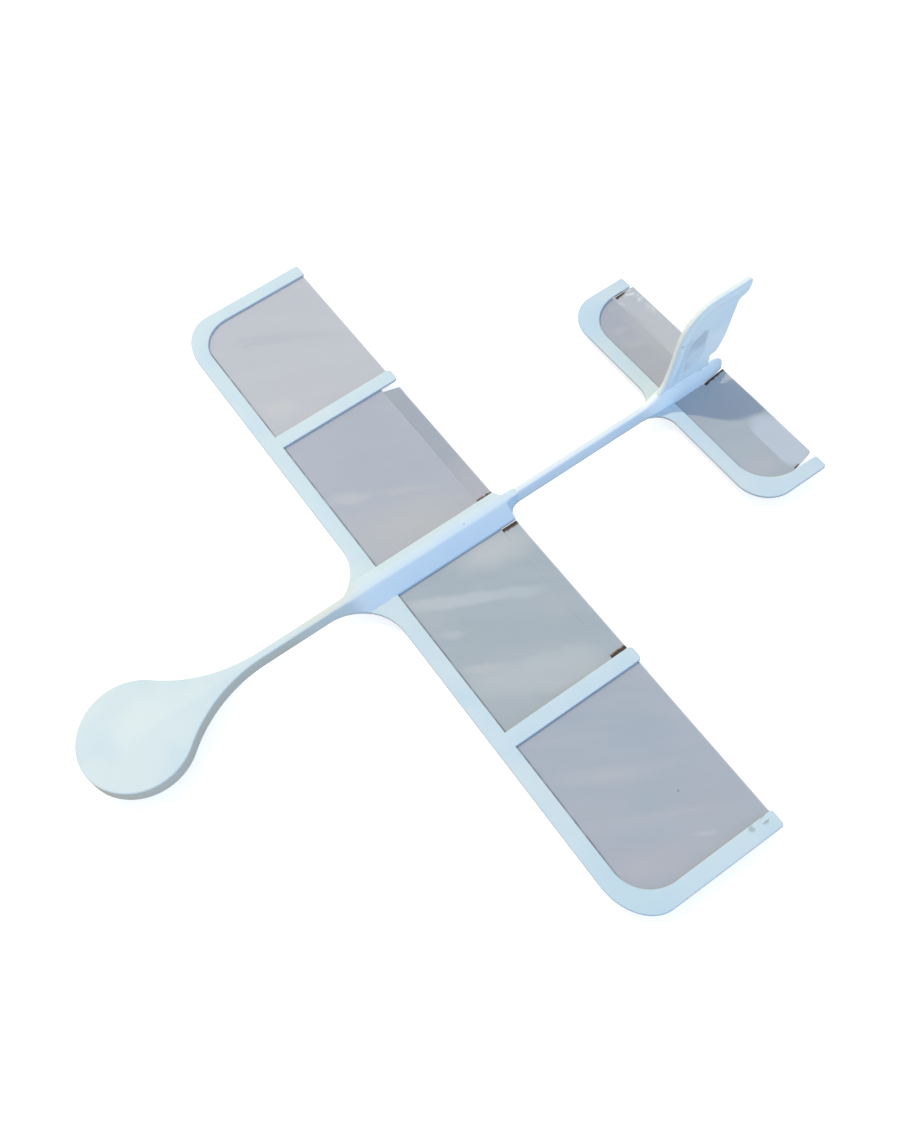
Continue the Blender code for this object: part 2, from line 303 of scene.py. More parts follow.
def rim(low: float, high: float, upper: float, lower: float = 0.0,
        steps: int = 5) -> list[tuple[float, float]]:
    """The layers of a flat piece with rounded rims.

    Args:
        low: Level of its lower face.
        high: Level of its upper face.
        upper: Radius of the upper rim.
        lower: Radius of the lower rim, or 0 for a sharp one.
        steps: How many stretches each rim's curve has.

    Returns:
        Inset and level of each ring, from the lower face to the upper.
    """
    turns = [math.radians(90.0 * index / steps) for index in range(steps + 1)]
    layers = [(0.0, low)]
    if lower > 0.0:
        layers = [(lower * (1.0 - math.sin(turn)), low + lower * (1.0 - math.cos(turn)))
                  for turn in turns]
    return layers + [(upper * (1.0 - math.cos(turn)), high - upper * (1.0 - math.sin(turn)))
                     for turn in turns]


def soft_corner(before: Point, corner: Point, after: Point, reach: float,
                steps: int) -> list[Point]:
    """Rounds a corner, with the same number of points for a sharp turn as for none.

    Args:
        before: The point before the corner.
        corner: The corner.
        after: The point after it.
        reach: How far from the corner the rounding starts.
        steps: How many stretches the rounding has.

    Returns:
        The rounding's points, ends included.
    """
    start = Vector(corner) + (Vector(before) - Vector(corner)).normalized() * reach
    end = Vector(corner) + (Vector(after) - Vector(corner)).normalized() * reach
    points = []
    for index in range(steps + 1):
        share = index / steps
        point = (start * (1.0 - share) ** 2 + Vector(corner) * (2.0 * share * (1.0 - share))
                 + end * share ** 2)
        points.append((point.x, point.y))
    return points


def mirrored(aft: float, half: Sequence[Point]) -> list[Vector]:
    """A full ring from the half that runs from its foot up to its middle."""
    ring = [*half, *[(-side, height) for side, height in reversed(half)]]
    return [place(aft, side, height) for side, height in ring]


def roof_section(aft: float, base: float, top_half: float, top: float) -> list[Vector]:
    """One ring of the body: upright foot, sloped flank and a soft-edged flat top.

    Args:
        aft: How far aft the ring is.
        base: Half its width at the foot.
        top_half: Half the width of its flat top.
        top: Its height.

    Returns:
        The ring's places.
    """
    foot, knee, edge, ridge = (base, 0.0), (base, FRAME_TOP), (top_half, top), (0.0, top)
    half = [foot, *soft_corner(foot, knee, edge, reach=0.35, steps=4),
            *soft_corner(knee, edge, ridge, reach=0.75, steps=7)]
    return mirrored(aft, half)


def round_section(aft: float, half_width: float, foot: float, top: float,
                  power: float) -> list[Vector]:
    """One ring of the boom: upright up to its foot level, then rounded over the top.

    Args:
        aft: How far aft the ring is.
        half_width: Half its width.
        foot: Where its upright foot ends.
        top: Its height.
        power: How square its rounding is, 2 for an ellipse and more for a squarer one.

    Returns:
        The ring's places.
    """
    lowest, last_turn, steps, flat_share = 0.15, 84.0, 14, 0.12
    half = [(half_width, min(lowest, foot * 0.5))]
    for index in range(steps + 1):
        angle = math.radians(last_turn * index / steps)
        half.append((half_width * math.cos(angle) ** (2.0 / power),
                     foot + (top - foot) * math.sin(angle) ** (2.0 / power)))
    half.append((half_width * flat_share, top))
    return mirrored(aft, half)


def fillet_points(front: float, radius: float, spine_half: float, steps: int) -> list[Point]:
    """The concave curve from the spine's side out to a leading edge."""
    return arc((front - radius, spine_half + radius), (radius, radius), -90.0, 0.0, steps)


def crossing(fillet: Sequence[Point], level: float) -> float:
    """How far aft a fillet reaches a given side.

    Args:
        fillet: The fillet's points, outward in order.
        level: The side to reach.

    Returns:
        The distance aft.
    """
    for (aft, side), (next_aft, next_side) in zip(fillet, fillet[1:]):
        if side <= level <= next_side:
            return aft + (level - side) / (next_side - side) * (next_aft - aft)
    return fillet[-1][0]


def eased(stations: Sequence[tuple[float, ...]], steps: int) -> list[tuple[float, ...]]:
    """Runs a smooth curve through stations.

    Args:
        stations: The stations, each a row of numbers.
        steps: How many rows each stretch between two stations is cut into.

    Returns:
        The curve's rows, the last station included.
    """
    rows = [stations[0], *stations, stations[-1]]
    result = []
    for index in range(1, len(rows) - 2):
        a, b, c, d = rows[index - 1:index + 3]
        for step in range(steps):
            t = step / steps
            row = []
            for p, q, r, s in zip(a, b, c, d):
                left = (r - p) * 0.5 if index > 1 else r - q
                right = (s - q) * 0.5 if index < len(rows) - 3 else r - q
                row.append(q * (2 * t ** 3 - 3 * t ** 2 + 1) + left * (t ** 3 - 2 * t ** 2 + t)
                           + r * (3 * t ** 2 - 2 * t ** 3) + right * (t ** 3 - t ** 2))
            result.append(tuple(row))
    result.append(tuple(stations[-1]))
    return result


class Graph:
    """Adds nodes to a tree and joins them."""

    def __init__(self, tree: Any) -> None:
        """Takes the tree to work in."""
        self.tree = tree

    def add(self, kind: str, **settings: Any) -> Any:
        """Adds a node.

        Args:
            kind: The node's type.
            settings: Its properties by name.

        Returns:
            The node.
        """
        node = self.tree.nodes.new(kind)
        for key, value in settings.items():
            setattr(node, key, value)
        return node

    def feed(self, socket: Any, value: Any) -> None:
        """Gives an input its value.

        Args:
            socket: The input.
            value: The output to join it to, or a plain value.
        """
        if isinstance(value, bpy.types.NodeSocket):
            self.tree.links.new(value, socket)
        else:
            socket.default_value = value

    def join(self, kind: str, feeds: dict[int | str, Any], out: int | str = 0,
             **settings: Any) -> Any:
        """Adds a node and feeds its inputs.

        Args:
            kind: The node's type.
            feeds: What each input takes, by its number or name.
            out: The number or name of the output to return.
            settings: The node's properties by name.

        Returns:
            That output.
        """
        node = self.add(kind, **settings)
        for key, value in feeds.items():
            self.feed(node.inputs[key], value)
        return node.outputs[out]

    def math(self, operation: str, *values: Any, clamp: bool = False) -> Any:
        """Adds a Math node and returns its result."""
        return self.join("ShaderNodeMath", dict(enumerate(values)), operation=operation,
                         use_clamp=clamp)

    def plus(self, first: Any, second: Any) -> Any:
        """Adds two values."""
        return self.math("ADD", first, second)

    def minus(self, first: Any, second: Any) -> Any:
        """Takes the second value from the first."""
        return self.math("SUBTRACT", first, second)

    def times(self, *values: Any) -> Any:
        """Multiplies values, from the first to the last."""
        return reduce(partial(self.math, "MULTIPLY"), values)

    def between(self, share: Any, first: Any, second: Any) -> Any:
        """Goes a share of the way from the first value to the second."""
        return self.plus(first, self.times(share, self.minus(second, first)))

    def vector(self, x: Any = 0.0, y: Any = 0.0, z: Any = 0.0) -> Any:
        """Puts three numbers together."""
        return self.join("ShaderNodeCombineXYZ", {0: x, 1: y, 2: z})

    def split(self, vector: Any) -> Any:
        """Takes a vector apart.

        Args:
            vector: The vector.

        Returns:
            Its three numbers.
        """
        node = self.add("ShaderNodeSeparateXYZ")
        self.feed(node.inputs[0], vector)
        return node.outputs

    def vector_math(self, operation: str, feeds: dict[int | str, Any], out: int | str = 0) -> Any:
        """Adds a Vector Math node and returns one of its outputs."""
        return self.join("ShaderNodeVectorMath", feeds, out, operation=operation)

    def laid(self, vector: Any, angle: Any, size: Sequence[Any],
             centre: Any = (0.0, 0.0, 0.0)) -> Any:
        """Lays a pattern's coordinates at an angle, stretched to a size about a place.

        Args:
            vector: The coordinates.
            angle: The angle about the upright axis.
            size: The pattern's length, width and height.
            centre: The place.

        Returns:
            The pattern's own coordinates.
        """
        return self.join("ShaderNodeMapping", {
            "Vector": vector, "Location": centre, "Rotation": self.vector(z=angle),
            "Scale": self.vector(*size)}, vector_type="TEXTURE")

    def ramp(self, value: Any, low: Any, high: Any, to_low: Any = 0.0, to_high: Any = 1.0) -> Any:
        """Maps a range to another with soft ends.

        Args:
            value: The value to map.
            low: Where its range starts.
            high: Where its range ends.
            to_low: What the start becomes.
            to_high: What the end becomes.

        Returns:
            The mapped value.
        """
        return self.join("ShaderNodeMapRange", {
            "Value": value, "From Min": low, "From Max": high, "To Min": to_low,
            "To Max": to_high}, "Result", interpolation_type="SMOOTHSTEP")

    def fade(self, value: Any, core: Any, reach: Any) -> Any:
        """Falls softly from 1 at the core to 0 at the reach."""
        return self.ramp(value, core, reach, 1.0, 0.0)

    def noise(self, vector: Any, scale: Any, detail: float = 2.0, distortion: float = 0.0,
              out: int | str = 0) -> Any:
        """Adds a Noise texture and returns its value, or its colour."""
        return self.join("ShaderNodeTexNoise", {
            "Vector": vector, "Scale": scale, "Detail": detail, "Distortion": distortion}, out)

    def mix(self, share: Any, first: Any, second: Any, blend: str = "MIX") -> Any:
        """Mixes two colours."""
        return self.join("ShaderNodeMix", {0: share, 6: first, 7: second}, 2, data_type="RGBA",
                         blend_type=blend, clamp_factor=True)


NUMBER = "NodeSocketFloat"
WHOLE = "NodeSocketInt"
VECTOR = "NodeSocketVector"
GEOMETRY = "NodeSocketGeometry"
MATERIAL = "NodeSocketMaterial"


def start_group(name: str, kind: str, takes: Sequence[tuple[str, str, Any]],
                gives: tuple[str, str]) -> tuple[Graph, Any, Any]:
    """Starts a node group with named sockets.

    Args:
        name: The group's name.
        kind: The tree's type.
        takes: Name, socket type and default of each input.
        gives: Name and socket type of the output.

    Returns:
        The graph, what it is given by name, and the socket for its result.
    """
    tree = bpy.data.node_groups.new(name, kind)
    for label, socket_type, default in takes:
        socket = tree.interface.new_socket(name=label, in_out="INPUT", socket_type=socket_type)
        if default is not None:
            socket.default_value = default
    tree.interface.new_socket(name=gives[0], in_out="OUTPUT", socket_type=gives[1])
    graph = Graph(tree)
    return graph, graph.add("NodeGroupInput").outputs, graph.add("NodeGroupOutput").inputs[0]


def shader_group(name: str, gives: str, vectors: Sequence[str],
                 **numbers: float) -> tuple[Graph, Any, Any]:
    """Starts a shader group whose result is a number.

    Args:
        name: The group's name.
        gives: The name of its output.
        vectors: The names of its vector inputs.
        numbers: Its other inputs with their defaults.

    Returns:
        The graph, what it is given by name, and the socket for its result.
    """
    takes = [(label, VECTOR, None) for label in vectors]
    takes += [(label.replace("_", " "), NUMBER, value) for label, value in numbers.items()]
    return start_group(name, "ShaderNodeTree", takes, (gives, NUMBER))


class Effects:
    """Shader node groups that more than one material uses."""

    def __init__(self) -> None:
        """Builds each group once."""
        self.streaks = self._streaks()
        self.mottle = self._mottle()
        self.grain = self._grain()
        self.spot = self._spot()
        self.band = self._band()
        self.patch = self._patch()
        self.walls = self._walls()

    @staticmethod
    def _streaks() -> Any:
        """Makes long soft streaks that run one way over a surface.

        Returns:
            The group.
        """
        graph, get, mask = shader_group(
            "Long Streaks", "Mask", ("Vector",), Length=0.05, Width=0.01, Angle=STREAK_ANGLE,
            Shift=0.0, Low=0.4, High=0.6)
        laid = graph.laid(get["Vector"], get["Angle"], (get["Length"], get["Width"], get["Width"]))
        moved = graph.vector_math("ADD", {0: laid, 1: graph.vector(z=get["Shift"])})
        cloud = graph.noise(moved, 1.0, detail=2.5, distortion=0.35)
        graph.feed(mask, graph.ramp(cloud, get["Low"], get["High"]))
        return graph.tree

    @staticmethod
    def _mottle() -> Any:
        """Makes soft clouds of a given size.

        Returns:
            The group.
        """
        graph, get, mask = shader_group(
            "Soft Mottle", "Mask", ("Vector",), Size=0.02, Low=0.35, High=0.65)
        cloud = graph.noise(get["Vector"], graph.math("DIVIDE", 1.0, get["Size"]))
        graph.feed(mask, graph.ramp(cloud, get["Low"], get["High"]))
        return graph.tree

    @staticmethod
    def _grain() -> Any:
        """Makes the height of a fine moulded grain over slow waves.

        Returns:
            The group.
        """
        graph, get, height = shader_group(
            "Moulded Grain", "Height", ("Vector",), Grain=0.0004, Wave=0.012, Wave_share=0.6)
        fine, slow = (graph.noise(get["Vector"], graph.math("DIVIDE", 1.0, get[size]), detail=1.0)
                      for size in ("Grain", "Wave"))
        share = get["Wave share"]
        graph.feed(height, graph.plus(graph.times(fine, graph.minus(1.0, share)),
                                      graph.times(slow, share)))
        return graph.tree

    @staticmethod
    def _spot() -> Any:
        """Makes a soft round patch about a place.

        Returns:
            The group.
        """
        graph, get, mask = shader_group(
            "Round Patch", "Mask", ("Vector", "Centre"), Core=0.001, Reach=0.004)
        gap = graph.vector_math("DISTANCE", {0: get["Vector"], 1: get["Centre"]}, "Value")
        graph.feed(mask, graph.fade(gap, get["Core"], get["Reach"]))
        return graph.tree

    @staticmethod
    def _band() -> Any:
        """Makes a soft band where one coordinate is near a value.

        Returns:
            The group.
        """
        graph, get, mask = shader_group(
            "Edge Band", "Mask", (), Coordinate=0.0, Middle=0.0, Core=0.0003, Reach=0.0008)
        gap = graph.math("ABSOLUTE", graph.minus(get["Coordinate"], get["Middle"]))
        graph.feed(mask, graph.fade(gap, get["Core"], get["Reach"]))
        return graph.tree

    @staticmethod
    def _patch() -> Any:
        """Makes a long patch with wandering edges, laid at an angle.

        Returns:
            The group.
        """
        graph, get, mask = shader_group(
            "Long Patch", "Mask", ("Vector", "Centre"), Length=0.02, Width=0.002,
            Angle=STREAK_ANGLE, Soft=0.6, Wander=0.0015)
        cloud = graph.noise(get["Vector"], 110.0, out="Color")
        middle = graph.vector_math("SUBTRACT", {0: cloud, 1: (0.5, 0.5, 0.5)})
        drift = graph.vector_math("SCALE", {0: middle, "Scale": graph.times(get["Wander"], 4.0)})
        moved = graph.vector_math("ADD", {0: get["Vector"], 1: drift})
        laid = graph.laid(moved, get["Angle"], (get["Length"], get["Width"], 1.0), get["Centre"])
        far = graph.vector_math("LENGTH", {0: laid}, "Value")
        graph.feed(mask, graph.fade(far, graph.minus(1.0, get["Soft"]), 1.0))
        return graph.tree

    @staticmethod
    def _walls() -> Any:
        """Makes a mask of upright faces low down, where the ground's shade gathers.

        Returns:
            The group.
        """
        graph, get, mask = shader_group("Low Walls", "Mask", ("Vector", "Normal"), Height=0.009)
        flat = graph.math("ABSOLUTE", graph.split(get["Normal"])[2])
        half = graph.times(get["Height"], 0.5)
        low = graph.fade(graph.split(get["Vector"])[2], half, get["Height"])
        graph.feed(mask, graph.times(graph.fade(flat, 0.15, 0.75), low))
        return graph.tree


@dataclass(frozen=True)
class Mark:
    """A small mark on a surface: where it is, how wide, and how strong."""

    aft: float
    side: float
    height: float
    core: float
    reach: float
    strength: float = 1.0


@dataclass(frozen=True)
class Wash:
    """A broad soft tint on a surface: where it is, how wide, its tone and how strong."""

    aft: float
    side: float
    height: float
    core: float
    reach: float
    tone: Tone
    strength: float = 0.6


class Surface:
    """A material in the making, with the colour that it has so far."""

    def __init__(self, name: str, effects: Effects, base: Tone) -> None:
        """Starts the material.

        Args:
            name: The material's name.
            effects: The shared shader groups.
            base: The tone that the others are laid over.
        """
        self.material = bpy.data.materials.new(name)
        self.material.use_nodes = True
        self.effects = effects
        self.graph = Graph(self.material.node_tree)
        self.inputs = self.material.node_tree.nodes["Principled BSDF"].inputs
        self.where = self.graph.add("ShaderNodeTexCoord").outputs["Object"]
        self.colour: Any = (*base, 1.0)

    def effect(self, tree: Any, **values: Any) -> Any:
        """Places a shared effect on the surface.

        Args:
            tree: The effect's group.
            values: Its own values by name.

        Returns:
            Its result.
        """
        node = self.graph.add("ShaderNodeGroup", node_tree=tree)
        if "Vector" in node.inputs:
            self.graph.feed(node.inputs["Vector"], self.where)
        for key, value in values.items():
            self.graph.feed(node.inputs[key], value)
        return node.outputs[0]

    def spot(self, mark: Mark | Wash) -> Any:
        """Makes the mask of a mark or a wash."""
        return self.effect(self.effects.spot, Core=mark.core * MM, Reach=mark.reach * MM,
                           Centre=tuple(place(mark.aft, mark.side, mark.height)))

    def line(self, coordinate: Any, middle: float, core: float, reach: float) -> Any:
        """Makes the mask of a band, its middle and its half widths in millimetres."""
        return self.effect(self.effects.band, Coordinate=coordinate, Middle=middle * MM,
                           Core=core * MM, Reach=reach * MM)

    def lay(self, share: Any, tone: Tone) -> None:
        """Lays a tone over the colour by a share."""
        self.colour = self.graph.mix(share, self.colour, (*tone, 1.0))

    def finish(self, roughness: Any, height: Any, strength: float, depth: float,
               **constants: Any) -> bpy.types.Material:
        """Joins everything to the shader.

        Args:
            roughness: The roughness over the surface.
            height: The height of its fine relief.
            strength: How strongly the relief shows.
            depth: How deep the relief is, in metres.
            constants: The shader's other values, the same all over.

        Returns:
            The material.
        """
        relief = self.graph.join("ShaderNodeBump", {
            "Strength": strength, "Distance": depth, "Height": height}, "Normal")
        for key, value in (("Base Color", self.colour), ("Roughness", roughness),
                           ("Normal", relief)):
            self.graph.feed(self.inputs[key], value)
        for key, constant in constants.items():
            self.inputs[key.replace("_", " ")].default_value = constant
        return self.material


@dataclass(frozen=True)
class PlasticFinish:
    """Smooth pale moulded plastic with a soft sheen."""

    name: str
    base: Tone = (0.63, 0.755, 0.835)
    cool: Tone = (0.58, 0.72, 0.83)
    warm: Tone = (0.67, 0.765, 0.80)
    # Tone of the painted shade on low upright faces.
    wall: Tone = (0.55, 0.60, 0.60)
    scuff_and_shade: Tone = (0.20, 0.25, 0.26)
    level_line: Tone = (0.30, 0.40, 0.50)
    cool_share: float = 0.6
    warm_share: float = 0.5
    roughness: float = 0.58
    glow: float = 0.0
    wall_top: float = 9.0
    wide_mark: float = 1.5
    level_line_core: float = 0.06
    level_line_reach: float = 0.26
    washes: tuple[Wash, ...] = ()
    marks: tuple[Mark, ...] = ()
    level_lines: tuple[Mark, ...] = ()

    def material(self, effects: Effects) -> bpy.types.Material:
        """Builds the plastic.

        Args:
            effects: The shared shader groups.

        Returns:
            The material.
        """
        surface = Surface(self.name, effects, self.base)
        graph = surface.graph
        cool = surface.effect(effects.mottle, Size=0.019, Low=0.42, High=0.66)
        surface.lay(graph.times(cool, self.cool_share), self.cool)
        warm = surface.effect(effects.mottle, Size=0.033, Low=0.45, High=0.70)
        surface.lay(graph.times(warm, self.warm_share), self.warm)
        # Upright faces low down take the wall tone: painted shade where the ground's shade
        # gathers.
        facing = graph.add("ShaderNodeNewGeometry").outputs["Normal"]
        surface.lay(surface.effect(effects.walls, Normal=facing, Height=self.wall_top * MM),
                    self.wall)
        for wash in self.washes:
            surface.lay(graph.times(surface.spot(wash), wash.strength), wash.tone)
        # Marks are small dark spots: scuffs, and painted shade on a frame's wall beside a slit.
        for mark in self.marks:
            surface.lay(self._scuff_and_shade(surface, mark), self.scuff_and_shade)
        for level_line in self.level_lines:
            surface.lay(self._level_line(surface, level_line), self.level_line)
        sheen = surface.effect(effects.mottle, Size=0.012, Low=0.3, High=0.7)
        rough = graph.ramp(sheen, 0.0, 1.0, self.roughness - 0.03, self.roughness + 0.04)
        within: dict[str, Any] = {}
        if self.glow > 0.0:
            within = {"Subsurface_Weight": self.glow, "Subsurface_Radius": (1.0, 1.1, 1.2),
                      "Subsurface_Scale": 0.0018}
        return surface.finish(rough, surface.effect(effects.grain), strength=0.12,
                              depth=0.00008, IOR=1.46, **within)

    def _scuff_and_shade(self, surface: Surface, mark: Mark) -> Any:
        """Makes a small dark mark, for a scuff and for painted shade alike, broken into scratches
        where it is a wide one.

        Args:
            surface: The material in the making.
            mark: The mark.

        Returns:
            Its mask.
        """
        spot = surface.spot(mark)
        if mark.reach > self.wide_mark:
            scratch = surface.effect(surface.effects.streaks, Length=0.004, Width=0.0008,
                                     Angle=math.radians(90.0), Low=0.42, High=0.56)
            spot = surface.graph.times(spot, scratch)
        return surface.graph.times(spot, mark.strength)

    def _level_line(self, surface: Surface, level_line: Mark) -> Any:
        """Makes a fine level line near a place.

        Args:
            surface: The material in the making.
            level_line: The place, which gives the line its level.

        Returns:
            Its mask.
        """
        level = surface.graph.split(surface.where)[2]
        line = surface.line(level, level_line.height, self.level_line_core, self.level_line_reach)
        return surface.graph.times(line, surface.spot(level_line), level_line.strength)


@dataclass(frozen=True)
class Patch:
    """A long soft patch of another tone in the film, at a scene place in millimetres."""

    x: float
    y: float
    length: float
    width: float
    tone: Tone
    angle: float = 62.0
    soft: float = 0.8
    strength: float = 1.0
    wander: float = 1.5


@dataclass(frozen=True)
class Cut:
    """A slit beside a trim tab, whose open gap is painted dark on the film as shade."""

    side: float
    low: float
    high: float
    lean: float = 0.0
    core: float = 0.55
    reach: float = 1.15


@dataclass(frozen=True)
class FilmFinish:
    """Thin hazy film with soft streaks and pale fold marks, painted shade in its slits, a painted
    highlight along its free edge and a painted shadow line along the frame.
    """

    name: str
    base: Tone = (0.41, 0.47, 0.54)
    pale: Tone = (0.48, 0.53, 0.59)
    blush: Tone = (0.43, 0.46, 0.54)
    # The edge tone paints a highlight along the film's free edge.
    edge: Tone = (0.74, 0.73, 0.76)
    # The gap tone is the colour of the painted shadow line along the frame.
    gap: Tone = (0.14, 0.17, 0.19)
    slit_shade_fringe: Tone = (0.30, 0.20, 0.13)
    slit_shade: Tone = (0.045, 0.024, 0.014)
    speck_and_shade: Tone = (0.12, 0.13, 0.18)
    pale_fold: Tone = (0.80, 0.84, 0.90)
    shift: float = 0.0
    streak: float = 0.35
    patches: tuple[Patch, ...] = ()
    cuts: tuple[Cut, ...] = ()
    creases: tuple[Mark, ...] = ()
    specks_and_shade: tuple[Mark, ...] = ()
    front_line: float | None = None
    free_edge: float | None = None
    opacity: float = 0.86

    def material(self, effects: Effects) -> bpy.types.Material:
        """Builds the film.

        Args:
            effects: The shared shader groups.

        Returns:
            The material.
        """
        surface = Surface(self.name, effects, self.base)
        graph = surface.graph
        bands = surface.effect(effects.streaks, Length=0.055, Width=0.0090, Shift=self.shift,
                               Low=0.42, High=0.66)
        wisps = surface.effect(effects.streaks, Length=0.020, Width=0.0030,
                               Shift=self.shift + 3.7, Low=0.48, High=0.72)
        surface.lay(surface.effect(effects.mottle, Size=0.040, Low=0.40, High=0.64), self.blush)
        for patch in self.patches:
            mask = surface.effect(
                effects.patch, Centre=(patch.x * MM, patch.y * MM, 0.0),
                Length=patch.length * MM, Width=patch.width * MM,
                Angle=math.radians(patch.angle), Soft=patch.soft, Wander=patch.wander * MM)
            surface.lay(graph.times(mask, patch.strength), patch.tone)
        surface.lay(graph.times(bands, self.streak), self.pale)
        surface.lay(graph.times(wisps, self.streak * 0.5), self.pale)
        self._whiten(surface)
        self._draw_edges(surface)
        # Each slit's open gap is painted dark on the film as shade.
        for cut in self.cuts:
            self._paint_slit_shade(surface, cut)
        # Specks are small dark spots: a real speck on the port wing's film, painted shade on the
        # fin's window.
        for speck_and_shade in self.specks_and_shade:
            surface.lay(graph.times(surface.spot(speck_and_shade), speck_and_shade.strength), self.speck_and_shade)
        ripple = surface.effect(effects.streaks, Length=0.030, Width=0.005,
                                Shift=self.shift + 9.1, Low=0.2, High=0.8)
        return surface.finish(graph.ramp(bands, 0.0, 1.0, 0.34, 0.46), ripple, strength=0.3,
                              depth=0.00025, Alpha=self.opacity, IOR=1.45)

    def _draw_edges(self, surface: Surface) -> None:
        """Draws a painted highlight along the free edge and a broken painted shadow line along the
        frame.

        Args:
            surface: The material in the making.
        """
        graph = surface.graph
        aft = graph.split(surface.where)[1]
        # The pale line along the free edge is a painted highlight.
        if self.free_edge is not None:
            light = surface.line(aft, self.free_edge - BALANCE_AFT, core=0.1, reach=0.6)
            surface.lay(graph.times(light, 0.6), self.edge)
        # A broken painted shadow line where the film leaves the frame's edge.
        if self.front_line is not None:
            line = surface.line(aft, self.front_line - BALANCE_AFT, core=0.25, reach=0.75)
            broken = surface.effect(surface.effects.mottle, Size=0.004, Low=0.25, High=0.60)
            surface.lay(graph.times(line, graph.ramp(broken, 0.0, 1.0, 0.35, 0.85)), self.gap)

    def _paint_slit_shade(self, surface: Surface, cut: Cut) -> None:
        """Paints shade along a slit on the film: dark within, with a tan fringe outside.

        Args:
            surface: The material in the making.
            cut: The slit.
        """
        graph = surface.graph
        side, aft, _ = graph.split(surface.where)
        low, high, soft = cut.low - BALANCE_AFT, cut.high - BALANCE_AFT, 0.5
        lean = graph.times(cut.lean, graph.minus(aft, low * MM))
        rough = surface.effect(surface.effects.mottle, Size=0.0016, Low=0.2, High=0.8)
        wander = graph.times(graph.minus(rough, 0.5), 0.0007)
        across = graph.plus(graph.plus(side, lean), wander)
        span = graph.times(graph.ramp(aft, (low - soft) * MM, low * MM),
                           graph.fade(aft, high * MM, (high + soft) * MM))
        slit_shade_fringe = surface.line(across, cut.side, cut.reach - 0.25, cut.reach + 0.35)
        surface.lay(graph.times(slit_shade_fringe, span, 0.75), self.slit_shade_fringe)
        slit_shade = surface.line(across, cut.side, cut.core, cut.reach)
        surface.lay(graph.times(slit_shade, span), self.slit_shade)

    def _whiten(self, surface: Surface) -> None:
        """Whitens the film along crumpled folds near its creases' marks.

        Args:
            surface: The material in the making.
        """
        for number, mark in enumerate(self.creases):
            folds = surface.effect(
                surface.effects.streaks, Length=0.007, Width=0.0016, Shift=2.0 * number,
                Angle=math.radians(20.0 + 50.0 * number), Low=0.46, High=0.66)
            surface.lay(surface.graph.times(surface.spot(mark), folds, mark.strength),
                        self.pale_fold)


def dress(item: bpy.types.Object, material: bpy.types.Material, body: str,
          nodes: Sequence[str] = ()) -> None:
    """Gives a piece its material and its body, and hides the solids that it stands for.

    Args:
        item: The piece.
        material: Its material.
        body: The body that it rides on.
        nodes: The solids that it stands for, if any.
    """
    item.data.materials.clear()
    item.data.materials.append(material)
    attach(item, body)
    if nodes:
        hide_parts(*nodes)
    LOG.info("%s: %d faces on %s for %s", item.name, len(item.data.polygons), body,
             ", ".join(nodes) or "no solid of its own")


